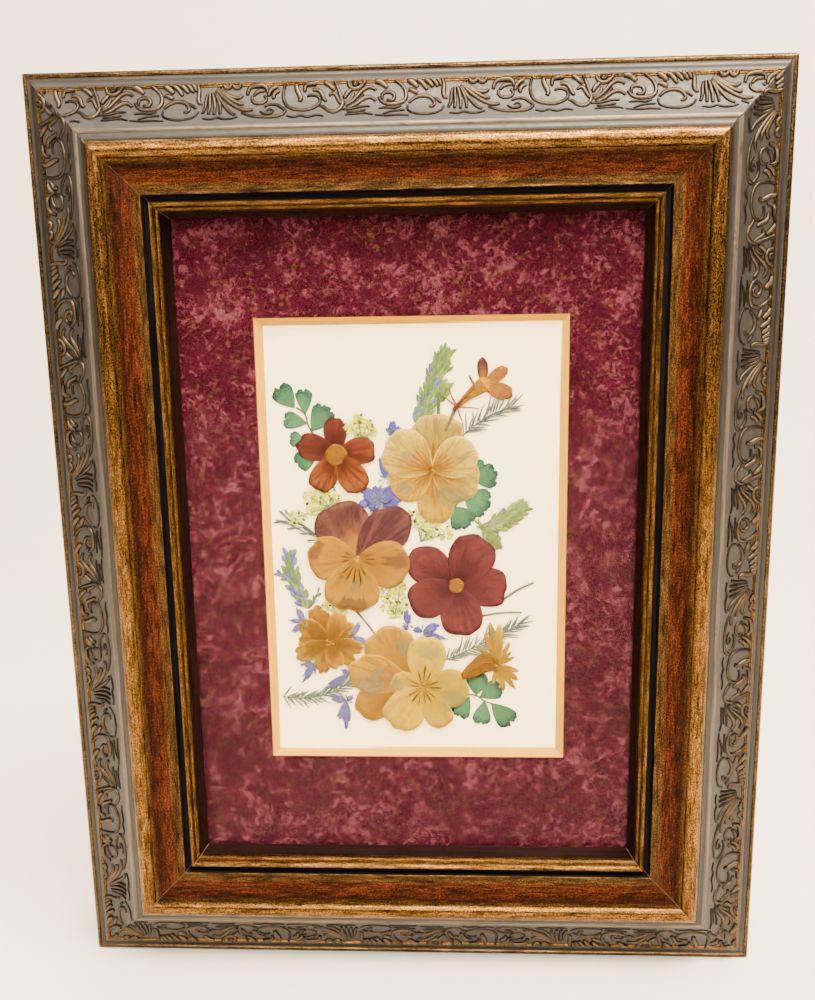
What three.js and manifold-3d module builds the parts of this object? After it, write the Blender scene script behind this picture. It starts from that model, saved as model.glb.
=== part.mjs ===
// A small ornamental picture frame holding dried, pressed flowers behind glass.
//
// The model stands on its bottom rail. Its origin is the middle of its footprint, +Z is up and the
// front faces -Y. Everything is laid out in a "face" group first: x to the right, y up and z towards
// the viewer, with the origin in the middle of the plane of the outer edges. That group is then
// stood up and lifted onto the ground.

import * as THREE from 'three';
import { mergeVertices } from 'three/addons/utils/BufferGeometryUtils.js';
import Module from 'manifold-3d';

const wasm = await Module();
wasm.setup();

// ---------------------------------------------------------------- driving dimensions, millimetres

const FRAME_WIDTH = 177.8;
const FRAME_HEIGHT = 228.6;
const SIDE_DEPTH = 19; // the plain outer side, from the outer edge back to the wall
const SIGHT_INSET = 33.5; // outer edge to the visible edge of the glass
const REBATE_INSET = 24.6; // outer edge to the wall of the rebate
const REBATE_FRONT = 1.8; // the lip that the glass rests against
const CREST_INSET = 18;
const CREST_HEIGHT = 9.9;
const MITRE_GAP = 0.15; // the fine open line where two rails meet

const PANE = { width: 126, height: 177 };
const LAYER_GAP = 0.02;
const GLASS_THICKNESS = 2;
const MAT_THICKNESS = 1.8;
const WINDOW = { x: 0.7, y: 0.6, width: 75.6, height: 113.4, bevel: 1.75 }; // not cut quite in the middle
const SHEET_THICKNESS = 0.4;
const BACKING_THICKNESS = 3;

const PRESSED = 0.2; // thickness of a pressed petal or leaf
const LEVEL_PITCH = 0.24; // each overlapping layer of specimens lies this much higher

const POINT = { length: 9, width: 5, thickness: 0.5, embedded: 3.5, clearance: 0.3 };
const COVER = { margin: 3, thickness: 0.25 };
const HANGER = { length: 46, width: 9, thickness: 0.8, rise: 1.2, foot: 7, teeth: 7, tooth: 1.6 };
const NAIL = { head: 1.6, headThickness: 0.6, shank: 0.6, length: 8, clearance: 0.3 };

// ---------------------------------------------------------------- depths of the stack

const glassBack = REBATE_FRONT - LAYER_GAP - GLASS_THICKNESS;
const matBack = glassBack - LAYER_GAP - MAT_THICKNESS;
const sheetFront = matBack - LAYER_GAP;
const sheetBack = sheetFront - SHEET_THICKNESS;
const backingBack = sheetBack - LAYER_GAP - BACKING_THICKNESS;
const pointBack = backingBack - LAYER_GAP - POINT.thickness;
const coverBack = -SIDE_DEPTH - LAYER_GAP - COVER.thickness;
const hangerBack = coverBack - LAYER_GAP - HANGER.rise - HANGER.thickness;
const hangerHeight = FRAME_HEIGHT / 2 - REBATE_INSET / 2;

// ---------------------------------------------------------------- materials

const material = (color, roughness, metalness = 0) =>
  new THREE.MeshStandardMaterial({ color, roughness, metalness });

const finishes = {
  moulding: () => material(0x6b4423, 0.42, 0.35),
  glass: () => material(0xf4f8f6, 0.05),
  mat: () => material(0x6e2139, 0.6),
  sheet: () => material(0xefe7da, 0.85),
  board: () => material(0x9a8a70, 0.9),
  steel: () => material(0x8d8f92, 0.35, 1),
  kraft: () => material(0xa9794a, 0.9),
  rust: () => material(0x8f3b24, 0.7),
  paleYellow: () => material(0xd9b26a, 0.65),
  purple: () => material(0x7b4340, 0.7),
  burgundy: () => material(0x7c2f34, 0.7),
  tan: () => material(0xb97d2e, 0.7),
  orange: () => material(0xd09a50, 0.7),
  yellow: () => material(0xdcb64f, 0.65),
  amber: () => material(0xc2711f, 0.65),
  leaf: () => material(0x6f9a6f, 0.75),
  greyLeaf: () => material(0x6d8078, 0.8),
  darkLeaf: () => material(0x4d4a40, 0.8),
  blue: () => material(0x7c80b8, 0.75),
  cream: () => material(0xe6dc96, 0.8),
  stem: () => material(0x77705a, 0.8),
};

const face = new THREE.Group();

function addMesh(name, geometry, finish) {
  const mesh = new THREE.Mesh(geometry, finishes[finish]());
  mesh.name = name;
  face.add(mesh);
  return mesh;
}

// ---------------------------------------------------------------- solids

function toSolid(geometry) {
  const bare = geometry.clone();
  bare.deleteAttribute('normal');
  bare.deleteAttribute('uv');
  const merged = mergeVertices(bare.index ? bare.toNonIndexed() : bare, 1e-4);
  return new wasm.Manifold(
    new wasm.Mesh({
      numProp: 3,
      vertProperties: new Float32Array(merged.attributes.position.array),
      triVerts: new Uint32Array(merged.index.array),
    }),
  );
}

function toGeometry(solid) {
  const { vertProperties, triVerts } = solid.getMesh();
  const geometry = new THREE.BufferGeometry();
  geometry.setAttribute('position', new THREE.BufferAttribute(vertProperties, 3));
  geometry.setIndex(new THREE.BufferAttribute(triVerts, 1));
  return geometry;
}

const join = (geometries) =>
  toGeometry(geometries.map(toSolid).reduce((whole, piece) => whole.add(piece)));

const cut = (geometry, tools) =>
  toGeometry(tools.map(toSolid).reduce((rest, tool) => rest.subtract(tool), toSolid(geometry)));

// A sheet of the given outline with its back face at z = back.
function sheet(shape, thickness, back) {
  const options = { depth: thickness, bevelEnabled: false, curveSegments: 8 };
  return new THREE.ExtrudeGeometry(shape, options).translate(0, 0, back);
}

function rectangle(width, height) {
  const [x, y] = [width / 2, height / 2];
  return new THREE.Shape().moveTo(-x, -y).lineTo(x, -y).lineTo(x, y).lineTo(-x, y).closePath();
}

// ---------------------------------------------------------------- moulding

// The section is drawn with x as the inset from the outer edge and y as the height above its plane.
function mouldingSection() {
  const section = new THREE.Shape();
  section.moveTo(0, -SIDE_DEPTH);
  section.lineTo(REBATE_INSET, -SIDE_DEPTH);
  section.lineTo(REBATE_INSET, REBATE_FRONT);
  section.lineTo(SIGHT_INSET, REBATE_FRONT);
  section.lineTo(32.3, 4.9); // the sloping wall down to the glass
  section.quadraticCurveTo(32.1, 6.1, 31.3, 6.2); // the double bead of the sight edge
  section.quadraticCurveTo(31.1, 7.3, 30.2, 7.6);
  section.lineTo(29.8, 6.2); // the black groove
  section.lineTo(28.7, 6.2);
  section.lineTo(28.3, 7.5);
  section.lineTo(27.9, 7.5);
  section.quadraticCurveTo(24, 7.2, 20.4, 8.8); // the wide scoop, which falls towards the groove
  section.quadraticCurveTo(19.6, CREST_HEIGHT - 0.1, CREST_INSET, CREST_HEIGHT); // the roll
  section.quadraticCurveTo(16.4, CREST_HEIGHT - 0.2, 16.1, 8.3);
  section.quadraticCurveTo(15.9, 6.8, 14.4, 6.7); // the grey step
  section.lineTo(13.4, 6.5);
  section.quadraticCurveTo(9.6, 2.7, 4.5, 1.4); // the ground of the ornament
  section.quadraticCurveTo(4, 1.8, 3.5, 1.1); // the copper line
  section.lineTo(2.9, 0.8);
  section.quadraticCurveTo(2, -0.5, 1.2, -0.3); // the outer cove
  section.quadraticCurveTo(0.6, 0.4, 0, -0.6); // the outer bead
  section.closePath();
  return section;
}

// A rail is the section run along its full length, with each end cut back by its inset.
function railGeometry(length) {
  const options = { depth: length, bevelEnabled: false, steps: 1, curveSegments: 4 };
  const geometry = new THREE.ExtrudeGeometry(mouldingSection(), options);
  const position = geometry.attributes.position;
  for (let i = 0; i < position.count; i += 1) {
    const inset = position.getX(i) + MITRE_GAP / Math.SQRT2;
    position.setZ(i, position.getZ(i) < length / 2 ? inset : length - inset);
  }
  return geometry;
}

// inward points from the outer edge to the middle of the frame, and the rail starts at corner.
function placedRail(length, inward, corner) {
  const towardsViewer = new THREE.Vector3(0, 0, 1);
  const along = new THREE.Vector3().crossVectors(inward, towardsViewer);
  const placing = new THREE.Matrix4().makeBasis(inward, towardsViewer, along);
  return railGeometry(length).applyMatrix4(placing).translate(corner.x, corner.y, 0);
}

const halfWidth = FRAME_WIDTH / 2;
const halfHeight = FRAME_HEIGHT / 2;

const rails = {
  rail_bottom: [FRAME_WIDTH, new THREE.Vector3(0, 1, 0), new THREE.Vector2(-halfWidth, -halfHeight)],
  rail_right: [FRAME_HEIGHT, new THREE.Vector3(-1, 0, 0), new THREE.Vector2(halfWidth, -halfHeight)],
  rail_top: [FRAME_WIDTH, new THREE.Vector3(0, -1, 0), new THREE.Vector2(halfWidth, halfHeight)],
  rail_left: [FRAME_HEIGHT, new THREE.Vector3(1, 0, 0), new THREE.Vector2(-halfWidth, halfHeight)],
};

// Flat steel points driven into the wall of the rebate: where each enters, and the way it is driven.
const rebateX = halfWidth - REBATE_INSET;
const rebateY = halfHeight - REBATE_INSET;
const pointPlaces = [
  { rail: 'rail_left', at: [-rebateX, 45], way: [-1, 0] },
  { rail: 'rail_left', at: [-rebateX, -45], way: [-1, 0] },
  { rail: 'rail_right', at: [rebateX, 45], way: [1, 0] },
  { rail: 'rail_right', at: [rebateX, -45], way: [1, 0] },
  { rail: 'rail_top', at: [0, rebateY], way: [0, 1] },
  { rail: 'rail_bottom', at: [0, -rebateY], way: [0, -1] },
];

// A point is a thin lozenge, blunt at the end that holds the board and sharp at the driven end.
function pointOutline(place, grown) {
  const [wx, wy] = place.way;
  const inner = POINT.embedded - POINT.length;
  const half = POINT.width / 2 + grown;
  const tip = POINT.embedded + grown;
  const corners = [[inner, -half * 0.6], [0, -half], [tip, -0.4], [tip, 0.4], [0, half], [inner, half * 0.6]];
  const points = corners.map(
    ([along, across]) =>
      new THREE.Vector2(
        place.at[0] + wx * along - wy * across,
        place.at[1] + wy * along + wx * across,
      ),
  );
  return new THREE.Shape(points);
}

function nailPlaces() {
  const offset = HANGER.length / 2 - HANGER.foot / 2;
  return { hanger_nail_left: offset, hanger_nail_right: -offset };
}

function nailHole(x) {
  const radius = NAIL.shank + NAIL.clearance;
  const depth = NAIL.length + 2;
  const hole = new THREE.CylinderGeometry(radius, radius, depth, 12).rotateX(Math.PI / 2);
  return hole.translate(x, hangerHeight, coverBack - 1 + depth / 2);
}

function addRails() {
  for (const [name, [length, inward, corner]] of Object.entries(rails)) {
    const tools = pointPlaces
      .filter((place) => place.rail === name)
      .map((place) =>
        sheet(
          pointOutline(place, POINT.clearance),
          POINT.thickness + 2 * POINT.clearance,
          pointBack - POINT.clearance,
        ),
      );
    if (name === 'rail_top') tools.push(...Object.values(nailPlaces()).map(nailHole));
    addMesh(name, cut(placedRail(length, inward, corner), tools), 'moulding');
  }
}

// ---------------------------------------------------------------- the glazed stack

// The cutter of the mat's window widens towards the viewer and runs past both faces of the board.
function windowCutter() {
  const reach = 1;
  const slope = WINDOW.bevel / MAT_THICKNESS;
  const cutter = new THREE.BoxGeometry(2, 2, 2);
  const position = cutter.attributes.position;
  for (let i = 0; i < position.count; i += 1) {
    const front = position.getZ(i) > 0;
    const spread = front ? reach * slope : -WINDOW.bevel - reach * slope;
    position.setXYZ(
      i,
      WINDOW.x + position.getX(i) * (WINDOW.width / 2 + spread),
      WINDOW.y + position.getY(i) * (WINDOW.height / 2 + spread),
      front ? matBack + MAT_THICKNESS + reach : matBack - reach,
    );
  }
  return cutter;
}

function addStack() {
  const pane = rectangle(PANE.width, PANE.height);
  addMesh('glass', sheet(pane, GLASS_THICKNESS, glassBack), 'glass');
  addMesh('mat_board', cut(sheet(pane, MAT_THICKNESS, matBack), [windowCutter()]), 'mat');
  addMesh('mount_sheet', sheet(pane, SHEET_THICKNESS, sheetBack), 'sheet');
  addMesh('backing_board', sheet(pane, BACKING_THICKNESS, backingBack), 'board');
  pointPlaces.forEach((place, i) => {
    const outline = pointOutline(place, 0);
    addMesh(`glazier_point_${i + 1}`, sheet(outline, POINT.thickness, pointBack), 'steel');
  });
}

// ---------------------------------------------------------------- the back

function addDustCover() {
  const shape = rectangle(FRAME_WIDTH - 2 * COVER.margin, FRAME_HEIGHT - 2 * COVER.margin);
  for (const x of Object.values(nailPlaces())) {
    const hole = new THREE.Path();
    hole.absarc(x, hangerHeight, NAIL.shank + NAIL.clearance, 0, 2 * Math.PI, true);
    shape.holes.push(hole);
  }
  addMesh('dust_cover', sheet(shape, COVER.thickness, coverBack), 'kraft');
}

// The hanger is a strip with two flat feet and a raised middle, whose lower edge is toothed.
function hangerGeometry() {
  const half = HANGER.length / 2;
  const bend = half - HANGER.foot;
  const slant = 1.5;
  const outer = -HANGER.thickness;
  const lean = 0.3;
  const strip = new THREE.Shape();
  strip.moveTo(-half, 0).lineTo(-half, outer).lineTo(-bend, outer);
  strip.lineTo(-bend + slant, outer - HANGER.rise).lineTo(bend - slant, outer - HANGER.rise);
  strip.lineTo(bend, outer).lineTo(half, outer).lineTo(half, 0).lineTo(bend + lean, 0);
  strip.lineTo(bend + lean - slant, -HANGER.rise).lineTo(-bend - lean + slant, -HANGER.rise);
  strip.lineTo(-bend - lean, 0).closePath();
  const options = { depth: HANGER.width, bevelEnabled: false };
  const band = new THREE.ExtrudeGeometry(strip, options).rotateX(Math.PI / 2);
  band.translate(0, hangerHeight + HANGER.width / 2, coverBack - LAYER_GAP);
  const span = 2 * (bend - slant);
  const pitch = span / (HANGER.teeth + 1);
  const bottom = hangerHeight - HANGER.width / 2;
  const tools = Object.values(nailPlaces()).map(nailHole);
  for (let i = 1; i <= HANGER.teeth; i += 1) {
    const x = -span / 2 + i * pitch;
    const gap = new THREE.Shape();
    gap.moveTo(x - pitch * 0.45, bottom - 1).lineTo(x + pitch * 0.45, bottom - 1);
    gap.lineTo(x, bottom + HANGER.tooth).closePath();
    tools.push(sheet(gap, 2 * HANGER.rise + 3, hangerBack - 1));
  }
  return cut(band, tools);
}

function nailGeometry(x) {
  const outside = coverBack - 2 * LAYER_GAP - HANGER.thickness - NAIL.headThickness;
  const shankLength = NAIL.length - NAIL.headThickness;
  const head = new THREE.CylinderGeometry(NAIL.head, NAIL.head, NAIL.headThickness, 14);
  const shank = new THREE.CylinderGeometry(NAIL.shank * 0.5, NAIL.shank, shankLength, 10);
  head.rotateX(Math.PI / 2).translate(x, hangerHeight, outside + NAIL.headThickness / 2);
  shank.translate(0, shankLength / 2 + NAIL.headThickness - 0.1, 0).rotateX(Math.PI / 2);
  shank.translate(x, hangerHeight, outside);
  return join([head, shank]);
}

function addBack() {
  addDustCover();
  addMesh('hanger', hangerGeometry(), 'steel');
  for (const [name, x] of Object.entries(nailPlaces())) addMesh(name, nailGeometry(x), 'steel');
}

// ---------------------------------------------------------------- outlines of pressed pieces

const rotated = (points, at, degrees) => {
  const turn = THREE.MathUtils.degToRad(degrees);
  const [c, s] = [Math.cos(turn), Math.sin(turn)];
  return points.map(([x, y]) => new THREE.Vector2(at[0] + x * c - y * s, at[1] + x * s + y * c));
};

// A petal grows from a narrow base at the origin along +x, is widest past its middle, and may be
// notched at the tip.
function petalPoints(length, width, notch = 0) {
  const steps = width > 5 ? 12 : 8;
  const points = [];
  for (let i = 0; i < steps; i += 1) {
    const turn = (2 * Math.PI * i) / steps;
    const along = (1 - Math.cos(turn)) / 2;
    const nearTip = Math.exp(-(((turn - Math.PI) / 0.4) ** 2));
    const across = Math.sin(turn) * along ** 0.3;
    points.push([length * (along - notch * nearTip), (width / 2) * across]);
  }
  return points;
}

// A fern leaflet is a fan with a scalloped outer edge, on a blunt base that laps over its stem.
function fanPoints(length, spread, lobes) {
  const steps = 2 * lobes;
  const points = [[-0.3, 0.15], [-0.3, -0.15]];
  for (let i = 0; i <= steps; i += 1) {
    const across = (2 * i) / steps - 1;
    const turn = THREE.MathUtils.degToRad((across * spread) / 2);
    const scallop = i % 2 === 0 ? 0.93 : 1;
    const radius = length * scallop * (1 - 0.18 * across ** 4);
    points.push([radius * Math.cos(turn), radius * Math.sin(turn)]);
  }
  return points;
}

// A ribbon follows a line of points and has a half-width at each of them.
function ribbonShape(line, halfWidths) {
  const left = [];
  const right = [];
  line.forEach((point, i) => {
    const before = line[Math.max(i - 1, 0)];
    const after = line[Math.min(i + 1, line.length - 1)];
    const way = new THREE.Vector2(after[0] - before[0], after[1] - before[1]).normalize();
    const side = new THREE.Vector2(-way.y, way.x).multiplyScalar(halfWidths[i]);
    left.push(new THREE.Vector2(point[0] + side.x, point[1] + side.y));
    right.unshift(new THREE.Vector2(point[0] - side.x, point[1] - side.y));
  });
  return new THREE.Shape([...left, ...right]);
}

const stemShape = (line, width = 0.35) => ribbonShape(line, line.map(() => width / 2));

// A tapering outline around an axis, wide enough to reach the tips of its needles or florets.
function sprayShape(from, to, halfWidth, bow = 0, steps = 8, toothed = 0) {
  const line = [];
  const widths = [];
  for (let i = 0; i <= steps; i += 1) {
    const t = i / steps;
    const sag = 4 * bow * t * (1 - t);
    const [dx, dy] = [to[0] - from[0], to[1] - from[1]];
    const length = Math.hypot(dx, dy);
    line.push([from[0] + t * dx - (sag * dy) / length, from[1] + t * dy + (sag * dx) / length]);
    const swell = Math.sin(Math.PI * (0.12 + 0.8 * t)) ** 0.7;
    widths.push(halfWidth * swell * (1 - toothed * (i % 2)));
  }
  return ribbonShape(line, widths);
}

const discShape = ([x, y], radius) => new THREE.Shape().absarc(x, y, radius, 0, 2 * Math.PI, false);

const petals = (at, list) =>
  list.map(([degrees, length, width, notch]) =>
    new THREE.Shape(rotated(petalPoints(length, width, notch), at, degrees)),
  );

const leaflets = (list) =>
  list.map(([x, y, degrees, length, spread, lobes = 4]) =>
    new THREE.Shape(rotated(fanPoints(length, spread, lobes), [x, y], degrees)),
  );

// ---------------------------------------------------------------- pressed specimens

// Every specimen is one flat solid: its outlines are pressed to one thickness and joined. Level 0
// lies on the mount sheet, and each higher level lies over the ones below it.
function addSpecimen(name, finish, level, shapes) {
  const back = sheetFront + LAYER_GAP + level * LEVEL_PITCH;
  const pieces = shapes.map((shape) => {
    const options = { depth: PRESSED, bevelEnabled: false, curveSegments: 3 };
    return new THREE.ExtrudeGeometry(shape, options).translate(0, 0, back);
  });
  addMesh(name, join(pieces), finish);
}

// Each petal is given as its direction in degrees, its length, its width and the depth of its notch.
function addFlowers() {
  const rust = [-18.2, 23.8];
  addSpecimen('rust_flower', 'rust', 2, [
    ...petals(rust, [
      [92, 9.3, 6.6, 0.08],
      [162, 10.2, 7.6],
      [9, 10.2, 8, 0.06],
      [-52, 11.8, 9.8, 0.1],
      [-121, 10.8, 7.8],
    ]),
    discShape(rust, 2.7),
  ]);
  const pale = [5.4, 19.7];
  addSpecimen('pale_pansy', 'paleYellow', 2, [
    ...petals(pale, [
      [148, 13.4, 15],
      [80, 14.1, 15.6],
      [26, 12, 12.6],
      [206, 11.2, 12.5],
      [-22, 12.2, 14],
      [-84, 13.9, 11],
    ]),
    discShape(pale, 4),
  ]);
  const purple = [-13.8, -3];
  addSpecimen('purple_pansy', 'purple', 3, [
    ...petals(purple, [
      [112, 15.6, 17],
      [44, 17.6, 13.6],
      [178, 12.3, 14],
      [-10, 13.2, 15],
      [-100, 14.2, 17],
    ]),
    discShape(purple, 4),
  ]);
  const burgundy = [11.2, -10];
  addSpecimen('burgundy_flower', 'burgundy', 2, [
    ...petals(burgundy, [
      [144, 14.2, 12.4],
      [62, 14.4, 14.6],
      [-4, 12.9, 13.2],
      [-81, 13.6, 13],
      [206, 13.2, 12.4],
    ]),
    discShape(burgundy, 2.2),
  ]);
  const tan = [-21.4, -25.2];
  addSpecimen('tan_flower', 'tan', 2, [
    ...petals(tan, [
      [106, 9.9, 6],
      [140, 10.4, 5.6],
      [182, 8.9, 5],
      [206, 9.6, 5.4],
      [250, 8.8, 5],
      [282, 8.3, 4.8],
      [312, 8, 4.4],
      [342, 8.2, 4.8],
      [34, 8.4, 5.6],
      [66, 8.6, 5.6],
    ]),
    discShape(tan, 3),
  ]);
  const orange = [-1.4, -35.6];
  addSpecimen('orange_pansy', 'orange', 2, [
    ...petals(orange, [
      [118, 15.8, 16],
      [170, 15.4, 13],
      [214, 16, 12],
      [60, 9, 9],
      [-60, 8, 8],
    ]),
    discShape(orange, 3),
  ]);
  const yellow = [2.4, -37.4];
  addSpecimen('yellow_pansy', 'yellow', 3, [
    ...petals(yellow, [
      [83, 14.2, 12],
      [-2, 11.8, 12.6],
      [-62, 12.6, 8.8],
      [-126, 13.6, 12.8],
      [172, 8.4, 8.6],
    ]),
    discShape(yellow, 3),
  ]);
}

function addBlooms() {
  const throat = [18.2, 40.6];
  addSpecimen('tubular_bloom', 'amber', 1, [
    ribbonShape([[11.2, 35], [14.4, 37.9], [16.6, 39.6], [18.6, 41]], [0.5, 1.1, 1.6, 1.9]),
    ...petals(throat, [
      [93, 6.8, 3],
      [38, 6.9, 3.4],
      [-18, 7.1, 4.4],
    ]),
    stemShape([[8.8, 29.5], [10.4, 32.6], [11.4, 35.4]], 0.7),
    stemShape([[8.2, 38.2], [11.4, 35.6]]),
    stemShape([[9.8, 40.4], [11.6, 35.8]]),
    stemShape([[17, 34.9], [11.8, 35.3]]),
    stemShape([[12.8, 32], [11.8, 35]]),
    stemShape([[14.9, 42.9], [16.2, 40.2]], 0.5),
  ]);
  const eye = [21.8, -31.4];
  addSpecimen('rayed_flower', 'amber', 2, [
    ribbonShape([[12.6, -34.4], [15.6, -32.4], [18.4, -30.6], [22.4, -31]], [0.4, 1.1, 2.7, 2.2]),
    ribbonShape([[21.6, -31], [20.6, -27.6], [20.2, -24]], [1.9, 1.7, 0.8]),
    ...petals(eye, [
      [100, 11.7, 2.6],
      [88, 11.2, 2.8],
      [64, 6.9, 1.6],
      [28, 4.8, 1.3],
      [-18, 5.6, 1.7],
      [-38, 6.5, 1.9],
      [-56, 7.8, 1.9],
      [-78, 7.1, 2.2],
      [-104, 5.4, 1.8],
      [136, 7.4, 1.8],
    ]),
  ]);
}

// Each leaflet is given as its base, direction, length, spread in degrees and number of lobes.
function addFerns() {
  addSpecimen('fern_upper_left', 'leaf', 0, [
    ...leaflets([
      [-27.9, 35.6, 124, 6.8, 78, 5],
      [-25.7, 33.7, 94, 6.5, 54],
      [-25.2, 31.6, 169, 6.1, 56],
      [-24.3, 29.5, 56, 7.6, 62],
      [-26.2, 27.4, 172, 3.8, 84],
      [-23, 24.2, 208, 6.2, 66],
      [-19.6, 19.6, -70, 2.8, 60, 3],
    ]),
    stemShape([[-27.9, 35.6], [-25.7, 33.9], [-25, 31], [-23.2, 27.6], [-22, 23.6], [-19.4, 19.4]]),
    stemShape([[-23.2, 27.6], [-26.4, 27.4]]),
    stemShape([[-22.2, 24.2], [-23.4, 24.1]]),
  ]);
  addSpecimen('fern_right', 'leaf', 0, [
    ...leaflets([
      [15.3, 17.6, 6, 6.4, 78, 5],
      [15.4, 19.4, 42, 3.6, 46, 3],
      [13.4, 12.8, -22, 6.8, 92, 6],
      [10.8, 10.4, -58, 6.4, 84, 5],
      [11, 13, 200, 5, 80],
    ]),
    stemShape([[15.5, 20.4], [15.2, 17.2], [13.2, 12.8], [10.6, 10.2]]),
    stemShape([[13.3, 13], [10.8, 13]]),
  ]);
  addSpecimen('fern_lower_right', 'leaf', 0, [
    ...leaflets([
      [16.2, -39.8, 86, 6.2, 72, 5],
      [17.1, -40.3, 28, 6.2, 66],
      [18.3, -41.3, -98, 6.6, 56],
      [20, -41.9, -46, 8, 56],
      [14.5, -40.1, -116, 6.6, 52],
      [11.8, -39.6, -142, 6.2, 70],
    ]),
    stemShape([[11.6, -39.4], [14.4, -39.6], [16.4, -39.9], [18.4, -41.4], [20.1, -42]], 0.4),
  ]);
}

function addSprigs() {
  addSpecimen('needle_sprig_top', 'greyLeaf', 0, [
    sprayShape([13.2, 28.4], [26.6, 35.6], 2.9, 0.9),
  ]);
  addSpecimen('needle_sprig_middle', 'greyLeaf', 0, [
    sprayShape([8.4, -30], [28.8, -19.6], 2.7, -0.4),
  ]);
  addSpecimen('needle_sprig_left', 'greyLeaf', 0, [
    sprayShape([-35, -40.2], [-15, -35], 2.7, -2.4),
  ]);
  addSpecimen('dark_sprig', 'darkLeaf', 0, [
    ribbonShape([[-35, 6.4], [-31, 6.6], [-27.6, 5.4], [-23.6, 2.6]], [0.3, 0.8, 1.1, 0.3]),
    stemShape([[-31, 4.9], [-27, 5.2]], 0.5),
    stemShape([[-28.5, 3.6], [-24.6, 3.6]], 0.5),
    stemShape([[-33, 9.5], [-31, 7.2]], 0.5),
    stemShape([[-30.7, 9.5], [-29.4, 6.4]], 0.5),
    stemShape([[-26.5, 1.7], [-24.2, 3]], 0.5),
  ]);
  addSpecimen('flower_spike_top', 'leaf', 0, [
    sprayShape([1.6, 30.2], [9.9, 51], 3.3, 0.2, 12, 0.14),
    discShape([8, 39.4], 1.6),
    stemShape([[7.4, 39], [7.2, 35], [7.6, 28]], 0.6),
  ]);
  addSpecimen('flower_spike_right', 'leaf', 1, [
    sprayShape([18.6, 4.6], [29.2, 11.2], 2.5, -0.5, 10, 0.14),
    sprayShape([18.4, 6.4], [21.6, -0.2], 1.9, 0, 6, 0.14),
    ribbonShape([[18.6, 4.4], [17.4, 4.2], [16.9, 6.3]], [0.8, 1.1, 0.2]),
  ]);
  addSpecimen('flower_spike_left', 'leaf', 0, [
    sprayShape([-31.4, -0.5], [-26, -16.4], 2.1, -1.5, 10, 0.16),
    ribbonShape([[-30.6, -8.6], [-32.4, -8.4], [-33.9, -6.6]], [0.8, 1, 0.4]),
    ribbonShape([[-26, -15.4], [-24.6, -14], [-23.8, -11.4]], [0.5, 0.6, 0.2]),
  ]);
}

// Each umbel is given as the foot of its rays and the place and radius of each floret.
function addUmbels() {
  const umbels = {
    umbel_upper: [1, [-12.2, 27.6], [[-12.6, 32.8, 0.6], [-14.6, 30.6, 0.9], [-10.4, 31.2, 0.9],
      [-12.2, 29.9, 1.3], [-9, 29.4, 0.6]]],
    umbel_left: [1, [-20.8, 10.6], [[-25.2, 13, 1.2], [-22.6, 13.4, 1.2], [-23, 11.2, 1.2],
      [-19.2, 12.6, 1.1], [-24.6, 9.6, 0.9], [-28.6, 8, 1.3]]],
    umbel_middle: [0, [2.4, 1.4], [[1, 7.8, 1.5], [2.4, 5.6, 1], [4.6, 3.4, 1], [8.6, 3.4, 1.2],
      [5.8, 5.4, 0.8]]],
    umbel_centre: [0, [-4.6, -18], [[-3, -10.2, 1.1], [-6.6, -12, 1.2], [-3.4, -13, 1.2],
      [-6.2, -15.6, 1.3], [-2.6, -15.8, 1.1], [-4.4, -17.2, 1.1]]],
    umbel_small: [1, [-19.8, -17.6], [[-22, -15.6, 0.7], [-20.6, -15.4, 0.6], [-18, -16.8, 0.6]]],
  };
  for (const [name, [level, foot, florets]] of Object.entries(umbels)) {
    const rays = florets.map(([x, y]) => stemShape([foot, [x, y]], 0.3));
    addSpecimen(name, 'cream', level, [
      ...rays,
      ...florets.map(([x, y, radius]) => discShape([x, y], radius)),
    ]);
  }
}

// Each floret is given as its middle and the direction, length and width of each petal.
function addBlueFlorets() {
  const florets = {
    blue_floret_1: [1, [-4, 29.2], [[96, 3, 2.4], [152, 2, 1.8], [36, 2.2, 1.8], [240, 1.4, 1.4]]],
    blue_floret_2: [1, [-8, 12.2], [[150, 5.4, 4.4], [192, 5, 3.6], [232, 3.6, 3.4], [96, 3.8, 3.6],
      [44, 4.8, 3.6], [8, 5.8, 4.4], [-22, 5.4, 3.8]]],
    blue_floret_3: [1, [-6.4, 17.6], [[100, 5.6, 1.9], [60, 3.8, 1.6]]],
    blue_floret_4: [1, [-1.2, -20.6], [[94, 4, 2.7], [-120, 1.6, 1.8]]],
    blue_floret_5: [1, [2.6, -22.4], [[24, 4.4, 3], [160, 2.6, 2.2], [-30, 3.2, 2.4], [-20, 6.2, 1.9]]],
    blue_floret_6: [1, [-28, -19.8], [[112, 4, 2.4], [172, 3.8, 1.7], [222, 4.4, 2]]],
    blue_floret_7: [1, [-26, -31], [[188, 3.2, 2.2], [242, 5.4, 2.6], [280, 3, 1.2]]],
    blue_floret_8: [1, [-15.8, -23.6], [[62, 4.2, 2.6], [-26, 4.4, 2.2]]],
    blue_floret_9: [1, [-16.6, -34], [[214, 7.2, 3.2], [40, 4.8, 3], [150, 2.6, 2]]],
    blue_floret_10: [1, [-17.6, -41.4], [[164, 3.9, 3], [-92, 7.3, 3.2], [-114, 5.4, 2.4], [40, 2.2, 2]]],
  };
  for (const [name, [level, at, list]] of Object.entries(florets)) {
    addSpecimen(name, 'blue', level, [...petals(at, list), discShape(at, 0.7)]);
  }
}

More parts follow.
